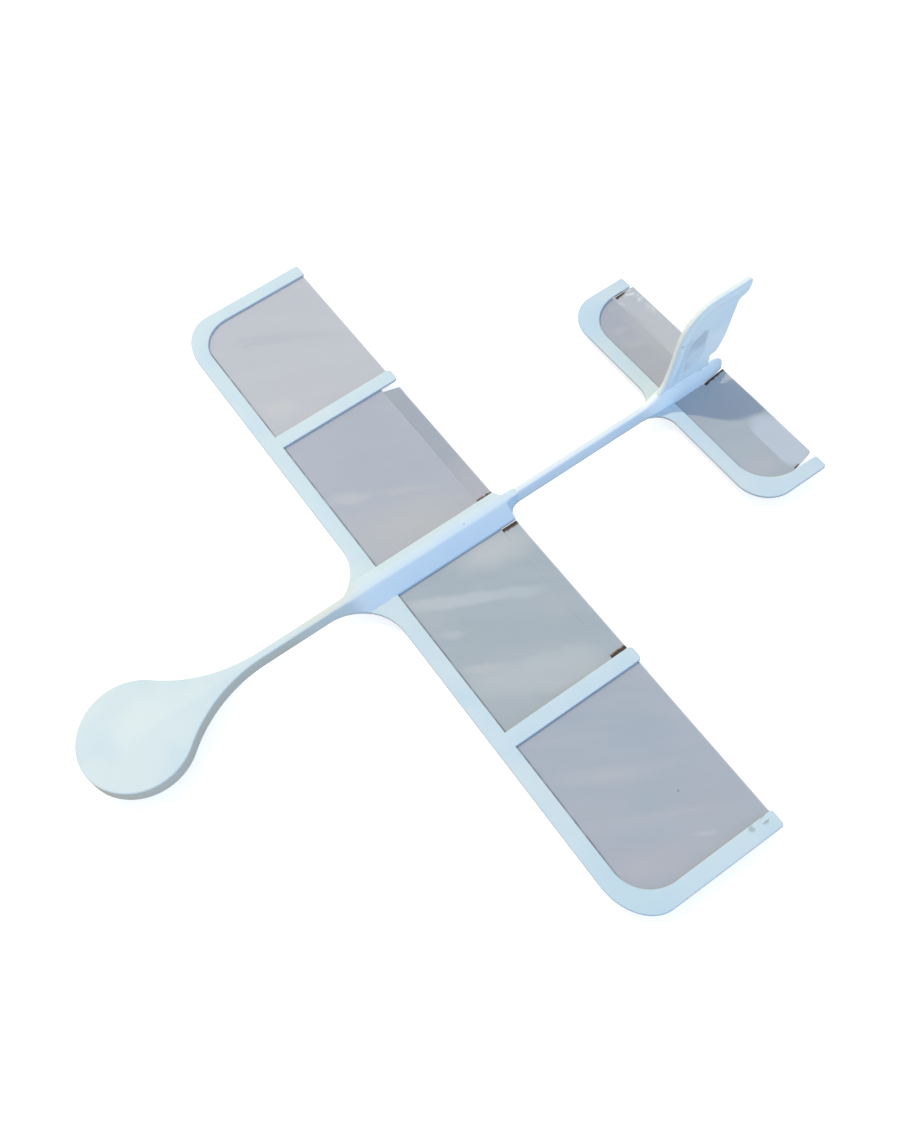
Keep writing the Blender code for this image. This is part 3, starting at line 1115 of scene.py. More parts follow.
@dataclass
class Spine:
    """Nose disc, neck, body, boom and fairing: one moulding in three stretches."""

    nose_finish: PlasticFinish
    body_finish: PlasticFinish
    tail_finish: PlasticFinish
    disc_rim: float = 0.55
    boom_power: float = 4.2
    boom_foot: float = 0.3
    overlap: float = 0.4
    fairing: tuple[tuple[float, float, float, float, float], ...] = (
        (121.0, 1.7, 0.3, 5.8, 4.2), (124.0, 1.95, 0.5, 6.3, 3.4), (126.4, 2.3, 0.8, 7.4, 2.8),
        (129.2, 2.55, 1.2, 8.9, 2.5), (132.4, 2.6, 1.2, 10.2, 2.4), (137.0, 2.5, 1.2, 10.2, 2.4),
        (144.0, 2.35, 1.2, 10.2, 2.4), (151.0, 2.15, 1.2, 10.0, 2.4), (153.4, 1.98, 1.2, 9.6, 2.3),
        (155.4, 1.75, 1.1, 9.0, 2.3), (157.2, 1.48, 1.0, 8.2, 2.2), (159.0, 1.15, 0.9, 7.2, 2.1),
        (160.3, 0.85, 0.8, 5.9, 2.0), (161.1, 0.55, 0.8, 4.6, 2.0), (161.4, 0.25, 0.7, 3.2, 2.0))

    @staticmethod
    def nose_outline() -> list[Point]:
        """Draws the disc, its flares and the neck in one outline.

        Returns:
            The outline, from the disc's front round by port.
        """
        rise = NECK_HALF + FLARE_RADIUS
        reach = math.sqrt((DISC_RADIUS + FLARE_RADIUS) ** 2 - rise ** 2)
        meet = math.degrees(math.atan2(rise, reach))
        disc = arc((DISC_AFT, 0.0), (DISC_RADIUS, DISC_RADIUS), 180.0, meet, 56)
        flare = arc((DISC_AFT + reach, rise), (FLARE_RADIUS, FLARE_RADIUS), 180.0 + meet,
                    270.0, 28)
        half = disc[1:] + flare[1:] + [(BODY_START, NECK_HALF)]
        return [(DISC_AFT - DISC_RADIUS, 0.0)] + half + [(a, -s) for a, s in reversed(half)]

    def nose(self) -> bpy.types.Object:
        """Builds the disc and neck.

        Returns:
            The new object.
        """

        def square_end(aft: float, side: float, height: float) -> Vector:
            """Keeps the neck's rear end square, so that it meets the body without a groove."""
            return place(BODY_START + 0.03 if aft > BODY_START - 1.0 else aft, side, height)

        return layered_mesh("nose_pad", [without_repeats(self.nose_outline())],
                            rim(0.0, SPINE_TOP, self.disc_rim), square_end)

    @staticmethod
    def body() -> bpy.types.Object:
        """Builds the roof-shaped body between the wings.

        Returns:
            The new object.
        """
        fillet = fillet_points(0.0, WING_FILLET, NECK_HALF, 48)
        rows = [(a, s, NECK_HALF, SPINE_TOP) for a, s in fillet if s < BODY_HALF - 0.1]
        rows.append((crossing(fillet, BODY_HALF), BODY_HALF, NECK_HALF, SPINE_TOP))
        steps = 12
        for share in (step / steps for step in range(steps + 1)):
            rows.append((WING_STRIP + (WING_END - WING_STRIP) * share, BODY_HALF,
                         NECK_HALF + (BOOM_HALF - NECK_HALF) * share, SPINE_TOP))
        radius = BODY_HALF - BOOM_HALF
        rear = arc((WING_END + radius, BODY_HALF), (radius, radius), 180.0, 270.0, 24)
        rows += [(a, s, BOOM_HALF, SPINE_TOP) for a, s in rear[1:]]
        return lofted_mesh("centre_body", [roof_section(*row) for row in rows])

    def boom(self) -> bpy.types.Object:
        """Builds the boom and the fairing that ends it.

        Returns:
            The new object.
        """
        start = (BODY_END - self.overlap, BOOM_HALF, self.boom_foot, SPINE_TOP, self.boom_power)
        rows = [start, *eased(self.fairing, 6)]
        return lofted_mesh("tail_boom_and_fairing", [round_section(*row) for row in rows])

    def build(self, effects: Effects) -> None:
        """Builds and dresses the three stretches.

        Args:
            effects: The shared shader groups.
        """
        for item, finish, nodes in (
                (self.nose(), self.nose_finish, ("nose_disc", "nose_boom")),
                (self.body(), self.body_finish, ("fuselage",)),
                (self.boom(), self.tail_finish, ("tail_boom", "tail_fairing"))):
            dress(item, finish.material(effects), AIRFRAME, nodes)


def strip_outline(front: float, back: float, half: float, strip: float, rib: float,
                  outer: Point, inner: Point, ends: Point) -> tuple[list[Point], list[Point]]:
    """A rounded tip: its outer edge to the rib's end, and its inner edge back again.

    Args:
        front: Where the leading edge lies.
        back: Where the tip rib ends.
        half: Half the span.
        strip: Width of the leading-edge strip.
        rib: Width of the tip rib.
        outer: Radii of the outer corner, fore and aft then spanwise.
        inner: Radii of the inner corner.
        ends: Radii of the rib end's outer and inner corners.

    Returns:
        The outer edge's points and the inner edge's points.
    """
    outer_edge = arc((front + outer[0], half - outer[1]), outer, 180.0, 90.0, 40)
    outer_edge += arc((back - ends[0], half - ends[0]), (ends[0], ends[0]), 90.0, 0.0, 8)
    inner_edge = arc((back - ends[1], half - rib + ends[1]), (ends[1], ends[1]), 0.0, -90.0, 8)
    inner_edge += arc((front + strip + inner[0], half - rib - inner[1]), inner, 90.0, 180.0, 36)
    return outer_edge, inner_edge


@dataclass
class FlatFrame:
    """One flat moulding with rounded rims, on one side of the glider."""

    side: Side
    finish: PlasticFinish
    span: str
    parts: tuple[str, ...]
    rim: float = 0.28
    tuck: float = 1.2
    step: float = 0.8

    def outline(self) -> list[Point]:
        """Draws the moulding, which each kind of frame does in its own way."""
        raise NotImplementedError

    def build(self, effects: Effects) -> None:
        """Builds and dresses the frame.

        Args:
            effects: The shared shader groups.
        """
        sign, word = self.side.value, self.side.word
        item = layered_mesh(f"{self.span}_frame_{word}", [self.outline()],
                            rim(FILM, FRAME_TOP, self.rim),
                            lambda aft, side, height: place(aft, sign * side, height))
        dress(item, self.finish.material(effects), AIRFRAME,
              [f"{self.span}_{part}_{word}" for part in self.parts])


@dataclass
class WingFrame(FlatFrame):
    """One wing's leading edge, tip bow and inner rib: one flat moulding."""

    span: str = "wing"
    parts: tuple[str, ...] = ("leading_edge", "tip_bow", "rib")

    def outline(self) -> list[Point]:
        """Draws the frame from the body's flank out and back.

        Returns:
            The outline.
        """
        fillet = fillet_points(0.0, WING_FILLET, NECK_HALF, 48)
        outer, inner = strip_outline(0.0, WING_END + RIB_OVERHANG * 0.5, HALF_SPAN, WING_STRIP,
                                     WING_TIP, WING_CORNER, WING_INNER, TIP_ENDS)
        rib = RIB_SIDE[self.side]
        behind = WING_END + RIB_OVERHANG - RIB_CORNER
        round_end = (RIB_CORNER, RIB_CORNER)
        root, meet = BODY_HALF - self.tuck, crossing(fillet, BODY_HALF)
        points = [(meet + self.step, root), (meet, BODY_HALF)]
        points += [(a, s) for a, s in fillet if s > BODY_HALF]
        points += outer + inner
        points.append((WING_STRIP, rib + RIB_WIDTH))
        points += arc((behind, rib + RIB_WIDTH - RIB_CORNER), round_end, 90.0, 0.0, 8)
        points += arc((behind, rib + RIB_CORNER), round_end, 0.0, -90.0, 8)
        points += [(WING_STRIP, rib), (WING_STRIP, root)]
        return without_repeats(points)


@dataclass
class TailFrame(FlatFrame):
    """One side of the tailplane's frame: leading edge and tip bow."""

    span: str = "tail"
    parts: tuple[str, ...] = ("leading_edge", "tip_bow")
    tuck: float = 0.4
    step: float = 0.4

    def outline(self) -> list[Point]:
        """Draws the frame from the fairing's flank out and back.

        Returns:
            The outline.
        """
        fillet = fillet_points(TAIL_AFT, TAIL_FILLET, BOOM_HALF, 32)
        outer, inner = strip_outline(TAIL_AFT, TAIL_TIP_END[self.side], TAIL_HALF, TAIL_STRIP,
                                     TAIL_TIP, TAIL_CORNER, TAIL_INNER, TIP_ENDS)
        root = FAIRING_FOOT + self.tuck
        meet = crossing(fillet, root)
        points = [(meet + self.step, FAIRING_FOOT), (meet, root)]
        points += [(a, s) for a, s in fillet if s > root]
        points += outer + inner
        points.append((TAIL_AFT + TAIL_STRIP, FAIRING_FOOT))
        return without_repeats(points)


def end_tree(graph: Graph, geometry: Any, material: Any, result: Any) -> None:
    """Ends a Geometry Nodes tree: smooth, with its instances real, and in its material.

    Args:
        graph: The tree's graph.
        geometry: What the tree has made.
        material: The socket that gives its material.
        result: The socket for its result.
    """
    smooth = graph.join("GeometryNodeSetShadeSmooth", {0: geometry})
    real = graph.join("GeometryNodeRealizeInstances", {0: smooth})
    graph.feed(result, graph.join("GeometryNodeSetMaterial",
                                  {"Geometry": real, "Material": material}))


class BeadTree:
    """Geometry Nodes that run an uneven bead along a line of edges."""

    def __init__(self) -> None:
        """Builds the tree."""
        graph, get, result = start_group("Uneven Bead", "GeometryNodeTree", (
            ("Geometry", GEOMETRY, None), ("Radius", NUMBER, 0.0004),
            ("Unevenness", NUMBER, 0.5), ("Pitch", NUMBER, 0.0022), ("Seed", NUMBER, 1.0),
            ("Count", WHOLE, 160), ("Material", MATERIAL, None)), ("Geometry", GEOMETRY))
        self.tree = graph.tree
        curve = graph.join("GeometryNodeMeshToCurve", {0: get["Geometry"]})
        even = graph.join("GeometryNodeResampleCurve", {"Curve": curve, "Count": get["Count"]})
        cloud = graph.join("ShaderNodeTexNoise", {
            "Vector": graph.add("GeometryNodeInputPosition").outputs[0], "W": get["Seed"],
            "Scale": graph.math("DIVIDE", 1.0, get["Pitch"]), "Detail": 1.0},
            noise_dimensions="4D")
        swell = graph.times(graph.minus(cloud, 0.5), 3.0)
        factor = graph.plus(1.0, graph.times(swell, get["Unevenness"]))
        profile = graph.join("GeometryNodeCurvePrimitiveCircle",
                             {"Resolution": 12, "Radius": get["Radius"]})
        tube = graph.join("GeometryNodeCurveToMesh", {
            "Curve": even, "Profile Curve": profile, "Fill Caps": True,
            "Scale": graph.math("MAXIMUM", factor, 0.25)})
        end_tree(graph, tube, get["Material"], result)


@dataclass
class Fin:
    """The upright fin: plate, rounded rim, small film window and the bead along its foot."""

    plastic: PlasticFinish
    rim_plastic: PlasticFinish
    film: FilmFinish
    bead: PlasticFinish
    half: float = 1.15
    edge: float = 0.75
    pane_half: float = 0.7
    rim_half: float = 1.65
    rim_width: float = 2.15
    rim_steps: int = 4
    rim_first: int = 1
    rim_end: int = 16
    rim_start: float = 0.35
    rim_growth: float = 4.0
    pane_lap: float = 0.6
    bead_offset: float = 0.3
    bead_radius: float = 0.72
    bead_pitch: float = 1.7
    bead_unevenness: float = 0.9
    bead_seed: float = 3.0
    bead_count: int = 220
    front: tuple[Point, ...] = (
        (125.4, 6.0), (128.0, 7.9), (130.0, 9.6), (131.6, 11.6), (132.9, 14.4), (134.6, 19.6),
        (136.2, 25.6), (137.6, 31.2), (139.2, 35.8), (141.6, 39.4), (145.1, 42.3),
        (148.6, 44.2), (152.4, 44.85), (158.0, 44.9), (164.0, 44.8), (168.0, 44.9),
        (169.7, 44.6), (170.3, 43.4), (170.1, 41.6), (169.3, 39.7), (167.7, 38.2),
        (165.6, 37.5), (164.5, 36.3), (163.9, 33.6), (162.8, 30.2), (162.0, 26.6),
        (160.8, 22.4), (159.3, 18.6), (157.6, 15.6), (156.2, 14.3), (154.3, 13.9),
        (153.5, 12.8), (153.3, 10.6))
    foot: tuple[Point, ...] = ((153.3, 8.6), (134.0, 8.6), (129.0, 6.4))
    window: tuple[Point, ...] = (
        (141.6, 12.8), (141.3, 18.0), (141.9, 24.0), (143.4, 27.8), (146.4, 29.6),
        (150.4, 31.0), (150.3, 24.0), (149.0, 17.6), (145.6, 14.4))

    def outline(self) -> list[Point]:
        """Draws the fin up its front, over its top and down to its foot.

        Returns:
            The outline.
        """
        points = [(row[0], row[1]) for row in eased(self.front, 4)]
        return without_repeats([*points, *self.foot])

    def rim_sections(self) -> list[list[Vector]]:
        """Rings of the rounded rim, up the front edge and along the top to its round end.

        Returns:
            One ring of places for each step along the rim.
        """
        stations = self.front[self.rim_first:self.rim_end]
        path = [Vector((row[0], row[1])) for row in eased(stations, self.rim_steps)]
        rings = []
        for index, point in enumerate(path):
            along = (path[min(index + 1, len(path) - 1)] - path[max(index - 1, 0)]).normalized()
            inward = Vector((along.y, -along.x))
            grown = min(1.0, self.rim_start + (1.0 - self.rim_start) * index
                        / (self.rim_growth * self.rim_steps))
            width = self.rim_width * grown
            rings.append(self.rim_ring(point + inward * width, inward, width,
                                       self.rim_half * grown))
        for angle in (22.5, 45.0, 67.5, 84.0):
            reach = math.sin(math.radians(angle)) * self.rim_width
            share = math.cos(math.radians(angle))
            rings.append(self.rim_ring(path[-1] + inward * self.rim_width + along * reach, inward,
                                       self.rim_width * share, self.rim_half * share))
        return rings

    @staticmethod
    def rim_ring(centre: Vector, inward: Vector, width: float, half: float,
                 corners: int = 18) -> list[Vector]:
        """One ring of the rim: an ellipse across it.

        Args:
            centre: Its middle, as aft and height.
            inward: The way in from the fin's edge.
            width: Its radius that way.
            half: Its radius sideways.
            corners: How many places it has.

        Returns:
            Its places.
        """
        ring = []
        for step in range(corners):
            angle = math.radians(360.0 / corners * step)
            spot = centre + inward * (width * math.cos(angle))
            ring.append(place(spot.x, half * math.sin(angle), spot.y))
        return ring

    def hole(self, steps: int = 5) -> list[Point]:
        """Draws the window as a smooth closed curve through its corners.

        Args:
            steps: How many stretches run from each corner to the next.

        Returns:
            The outline.
        """
        ring = self.window
        count = len(ring)
        points = []
        for index in range(count):
            a, b, c, d = (Vector(ring[(index + step - 1) % count]) for step in range(4))
            for t in (step / steps for step in range(steps)):
                point = (b * 2.0 + (c - a) * t + (a * 2.0 - b * 5.0 + c * 4.0 - d) * t ** 2
                         + (b * 3.0 - a - c * 3.0 + d) * t ** 3) * 0.5
                points.append((point.x, point.y))
        return points

    @staticmethod
    def upright(aft: float, height: float, side: float) -> Vector:
        """Places a point of the fin's outline."""
        return place(aft, side, height)

    def foot_line(self) -> list[Vector]:
        """Draws the line where the fin's two faces meet the fairing.

        Returns:
            The corners of the closed line.
        """
        half = self.half + self.bead_offset
        line = ((135.0, 9.7), (140.0, 9.6), (145.0, 9.4), (150.0, 9.2), (153.0, 9.0))
        port = [place(aft, half, height) for aft, height in line]
        return port + [place(aft, -half, height) for aft, height in reversed(line)]

    def build(self, effects: Effects, beads: BeadTree) -> None:
        """Builds and dresses the plate, its rim, its pane and the bead.

        Args:
            effects: The shared shader groups.
            beads: The tree that makes the bead.
        """
        plate = layered_mesh("fin_plate", [self.outline(), self.hole()],
                             rim(-self.half, self.half, self.edge, self.edge, 8), self.upright)
        dress(plate, self.plastic.material(effects), AIRFRAME, ("fin",))
        edge = lofted_mesh("fin_rim", self.rim_sections())
        dress(edge, self.rim_plastic.material(effects), AIRFRAME)
        pane = layered_mesh("fin_pane", [drawn_in(self.hole(), -self.pane_lap)],
                            [(0.0, -self.pane_half), (0.0, self.pane_half)], self.upright)
        dress(pane, self.film.material(effects), AIRFRAME, ("fin_film",))
        material = self.bead.material(effects)
        bead = realized("fin_foot_bead", beads.tree, {
            "Radius": self.bead_radius * MM, "Unevenness": self.bead_unevenness,
            "Pitch": self.bead_pitch * MM, "Seed": self.bead_seed, "Count": self.bead_count,
            "Material": material}, self.foot_line())
        dress(bead, material, AIRFRAME)


@dataclass(frozen=True)
class Lift:
    """How a sheet rises off the flat: at its front and rear, and where along the span."""

    front: float = 0.0
    rear: float = 0.0
    ease: float = 1.0
    start: float = -400.0
    full: float = -300.0
    end: float = 400.0


class SheetTree:
    """Geometry Nodes that make one sheet of film from its sizes."""

    NUMBERS: dict[str, float] = {
        "Inboard": 0.01, "Outboard": 0.05, "Front": 0.0, "Rear": 0.05, "Front corner": 0.001,
        "Rear corner": 0.001, "Notch": 0.0, "Root taper": 0.0, "Sign": 1.0, "Base": 0.00002,
        "Thickness": 0.00016, "Wrinkle": 0.0001, "Clamp": 0.003, "Clamp width": 0.0035,
        "Lift front": 0.0, "Lift rear": 0.0, "Lift ease": 1.0, "Lift start": -1.0,
        "Lift full": -0.9, "Lift end": 1.0, "Seed": 0.0}

    def __init__(self) -> None:
        """Builds the tree."""
        takes = [(label, NUMBER, default) for label, default in self.NUMBERS.items()]
        takes += [("Columns", WHOLE, 60), ("Rows", WHOLE, 40), ("Material", MATERIAL, None)]
        graph, get, result = start_group("Film Sheet", "GeometryNodeTree", takes,
                                         ("Geometry", GEOMETRY))
        self.tree, self.graph, self.get = graph.tree, graph, get
        grid = graph.join("GeometryNodeMeshGrid", {
            "Size X": 1.0, "Size Y": 1.0, "Vertices X": get["Columns"],
            "Vertices Y": get["Rows"]}, "Mesh")
        unit = graph.split(graph.add("GeometryNodeInputPosition").outputs[0])
        across, along = (graph.plus(unit[axis], 0.5) for axis in (0, 1))
        outer = graph.minus(get["Outboard"], graph.times(get["Notch"], along))
        root = graph.minus(get["Inboard"], graph.times(get["Root taper"], along))
        side = graph.between(across, root, outer)
        front = graph.plus(get["Front"], self._corner(side, outer, get["Front corner"]))
        rear = graph.minus(get["Rear"], self._corner(side, outer, get["Rear corner"]))
        chord = graph.between(along, front, rear)
        width = graph.times(side, get["Sign"])
        height = graph.plus(self._wrinkle(side, chord, width, outer), self._lift(along, width))
        spot = graph.vector(width, chord, graph.plus(height, get["Base"]))
        sheet = graph.join("GeometryNodeSetPosition", {"Geometry": grid, "Position": spot})
        end_tree(graph, self._thickened(sheet), get["Material"], result)

    def _corner(self, side: Any, outer: Any, radius: Any) -> Any:
        """Finds how far a rounded outboard corner draws an edge in.

        Args:
            side: How far out a point is.
            outer: How far out the sheet reaches there.
            radius: The corner's radius.

        Returns:
            The distance.
        """
        graph = self.graph
        into = graph.minus(side, graph.minus(outer, radius))
        share = graph.math("DIVIDE", into, radius, clamp=True)
        height = graph.math("SQRT", graph.minus(1.0, graph.times(share, share)))
        return graph.times(radius, graph.minus(1.0, height))

    def _wrinkle(self, side: Any, chord: Any, width: Any, outer: Any) -> Any:
        """Makes soft wrinkles that fade out where the film is bonded.

        Args:
            side: How far out a point is.
            chord: How far aft it is.
            width: Its scene X.
            outer: How far out the sheet reaches there.

        Returns:
            The height of the wrinkles.
        """
        graph, get = self.graph, self.get
        cosine, sine = math.cos(STREAK_ANGLE), math.sin(STREAK_ANGLE)
        run = graph.plus(graph.times(width, cosine / WRINKLE_LENGTH),
                         graph.times(chord, sine / WRINKLE_LENGTH))
        cross = graph.minus(graph.times(chord, cosine / WRINKLE_WIDTH),
                            graph.times(width, sine / WRINKLE_WIDTH))
        where = graph.vector(run, cross, graph.times(get["Seed"], 7.3))
        waves = graph.noise(where, 1.0, detail=1.5)
        far = graph.plus(get["Clamp"], get["Clamp width"])
        held = [graph.ramp(gap, get["Clamp"], far) for gap in (
            graph.minus(side, get["Inboard"]), graph.minus(outer, side),
            graph.minus(chord, get["Front"]))]
        return graph.times(waves, graph.times(*held), get["Wrinkle"])

    def _lift(self, along: Any, width: Any) -> Any:
        """Makes the rise of a bent sheet.

        Args:
            along: How far a point is from front to rear, from 0 to 1.
            width: Its scene X.

        Returns:
            The rise.
        """
        graph, get = self.graph, self.get
        spread = graph.times(graph.ramp(width, get["Lift start"], get["Lift full"]),
                             graph.ramp(width, get["Lift end"], get["Lift full"]))
        ahead = graph.math("POWER", graph.minus(1.0, along), get["Lift ease"])
        behind = graph.math("POWER", along, get["Lift ease"])
        rise = graph.plus(graph.times(ahead, get["Lift front"]),
                          graph.times(behind, get["Lift rear"]))
        return graph.times(rise, spread)

    def _thickened(self, surface: Any) -> Any:
        """Closes the surface into a thin sheet.

        Args:
            surface: The surface.

        Returns:
            The sheet.
        """
        graph, get = self.graph, self.get
        faced = graph.join("GeometryNodeFlipFaces", {
            0: surface, "Selection": graph.math("LESS_THAN", get["Sign"], 0.0)})
        raised = graph.join("GeometryNodeExtrudeMesh", {
            "Mesh": faced, "Offset": (0.0, 0.0, 1.0), "Offset Scale": get["Thickness"],
            "Individual": False}, "Mesh", mode="FACES")
        both = graph.add("GeometryNodeJoinGeometry")
        for skin in (raised, graph.join("GeometryNodeFlipFaces", {0: faced})):
            graph.feed(both.inputs[0], skin)
        return graph.join("GeometryNodeMergeByDistance",
                          {"Geometry": both.outputs[0], "Distance": 0.000002})


def realized(name: str, tree: Any, values: dict[str, Any],
             line: Sequence[Vector] = ()) -> bpy.types.Object:
    """Runs a Geometry Nodes tree and keeps its result as a plain mesh.

    Args:
        name: The new object's name.
        tree: The tree to run.
        values: The value of each named input.
        line: Corners of the closed line that the tree starts from, if it needs one.

    Returns:
        The new object, with no modifier left on it.
    """
    seed = bpy.data.meshes.new(name + "_seed")
    if line:
        count = len(line)
        seed.from_pydata(line, [(index, (index + 1) % count) for index in range(count)], [])
    item = bpy.data.objects.new(name, seed)
    modifier = item.modifiers.new("Tree", "NODES")
    modifier.node_group = tree
    for socket in tree.interface.items_tree:
        if socket.in_out == "INPUT" and socket.name in values:
            modifier[socket.identifier] = values[socket.name]
    bpy.context.scene.collection.objects.link(item)
    graph = bpy.context.evaluated_depsgraph_get()
    mesh = bpy.data.meshes.new_from_object(item.evaluated_get(graph), depsgraph=graph)
    mesh.name = name
    item.modifiers.clear()
    item.data = mesh
    mesh.set_sharp_from_angle(angle=SHARP)
    return item


@dataclass
class FilmSheet:
    """One sheet of film: a bay's panel or a trim tab."""

    name: str
    side: Side
    node: str
    body: str
    finish: FilmFinish
    inboard: float
    outboard: float
    front: float
    rear: float
    front_corner: float = 0.01
    rear_corner: float = 0.01
    notch: float = 0.0
    taper: float = 0.0
    wrinkle: float = 0.10
    clamp: float = 3.0
    clamp_width: float = 3.5
    base: float = 0.02
    thickness: float = 0.16
    lift: Lift = field(default_factory=Lift)
    seed: float = 1.0
    columns: int = 90
    rows: int = 60

    def build(self, effects: Effects, tree: SheetTree) -> None:
        """Builds and dresses the sheet.

        Args:
            effects: The shared shader groups.
            tree: The tree that makes it.
        """
        material, word, lift = self.finish.material(effects), self.side.word, self.lift
        sizes = {
            "Inboard": self.inboard, "Outboard": self.outboard,
            "Front": self.front - BALANCE_AFT, "Rear": self.rear - BALANCE_AFT,
            "Front corner": self.front_corner, "Rear corner": self.rear_corner,
            "Notch": self.notch, "Root taper": self.taper, "Wrinkle": self.wrinkle,
            "Clamp": self.clamp, "Clamp width": self.clamp_width, "Lift front": lift.front,
            "Lift rear": lift.rear, "Lift start": lift.start, "Lift full": lift.full,
            "Lift end": lift.end, "Base": self.base, "Thickness": self.thickness}
        values: dict[str, Any] = {key: value * MM for key, value in sizes.items()}
        values.update({"Sign": self.side.value, "Lift ease": lift.ease, "Seed": self.seed,
                       "Columns": self.columns, "Rows": self.rows, "Material": material})
        item = realized(f"{self.name}_{word}", tree.tree, values)
        dress(item, material, self.body, (f"{self.node}_{word}",))


@dataclass
class WingFilm:
    """One wing's two film panels and its trim tab."""

    side: Side
    inner: FilmFinish
    outer: FilmFinish
    tab: FilmFinish
    tab_end: float = 72.2
    notch: float = 0.0
    ridge: Lift = field(default_factory=Lift)
    droop: Lift = field(default_factory=Lift)

    def build(self, effects: Effects, tree: SheetTree) -> None:
        """Builds and dresses the three sheets.

        Args:
            effects: The shared shader groups.
            tree: The tree that makes them.
        """
        side, rib, seed = self.side, RIB_SIDE[self.side], 2.0 + self.side.value
        front = WING_STRIP - LAP
        for sheet in (
                FilmSheet("wing_panel_inner", side, "wing_film_inner", AIRFRAME, self.inner,
                          BODY_HALF, rib + LAP, front, WING_CREASE + CREASE_LAP,
                          lift=self.ridge, seed=seed),
                FilmSheet("wing_panel_outer", side, "wing_film_outer", AIRFRAME, self.outer,
                          rib + RIB_WIDTH - LAP, HALF_SPAN - WING_TIP + LAP, front, WING_END,
                          front_corner=WING_INNER[0], seed=seed + 4.0),
                FilmSheet("wing_trim_tab", side, "wing_tab", "wing_tab_" + side.hand, self.tab,
                          BODY_HALF + 0.4, self.tab_end, WING_CREASE + HINGE_GAP * 0.5, WING_END,
                          notch=self.notch, clamp=LOOSE, lift=self.droop, seed=seed, rows=20)):
            sheet.build(effects, tree)


@dataclass
class TailFilm:
    """One side of the tailplane's film and its trim tab."""

    side: Side
    panel: FilmFinish
    tab: FilmFinish
    notch: float
    corner: float
    rear: float
    curl: Lift
    tab_end: float = 52.7
    taper: float = 1.0

    def build(self, effects: Effects, tree: SheetTree) -> None:
        """Builds and dresses the two sheets.

        Args:
            effects: The shared shader groups.
            tree: The tree that makes them.
        """
        side, seed = self.side, 12.0 + self.side.value
        for sheet in (
                FilmSheet("tail_panel", side, "tail_film", AIRFRAME, self.panel,
                          FAIRING_FOOT + 0.1, TAIL_HALF - TAIL_TIP + LAP,
                          TAIL_AFT + TAIL_STRIP - LAP, TAIL_CREASE + CREASE_LAP,
                          front_corner=TAIL_INNER[0], seed=seed, rows=36),
                FilmSheet("tail_trim_tab", side, "tail_tab", "tail_tab_" + side.hand, self.tab,
                          FAIRING_FOOT + 0.9, self.tab_end, TAIL_CREASE + HINGE_GAP * 0.5,
                          self.rear, rear_corner=self.corner, notch=self.notch,
                          taper=self.taper, clamp=LOOSE, lift=self.curl, seed=seed, rows=26)):
            sheet.build(effects, tree)


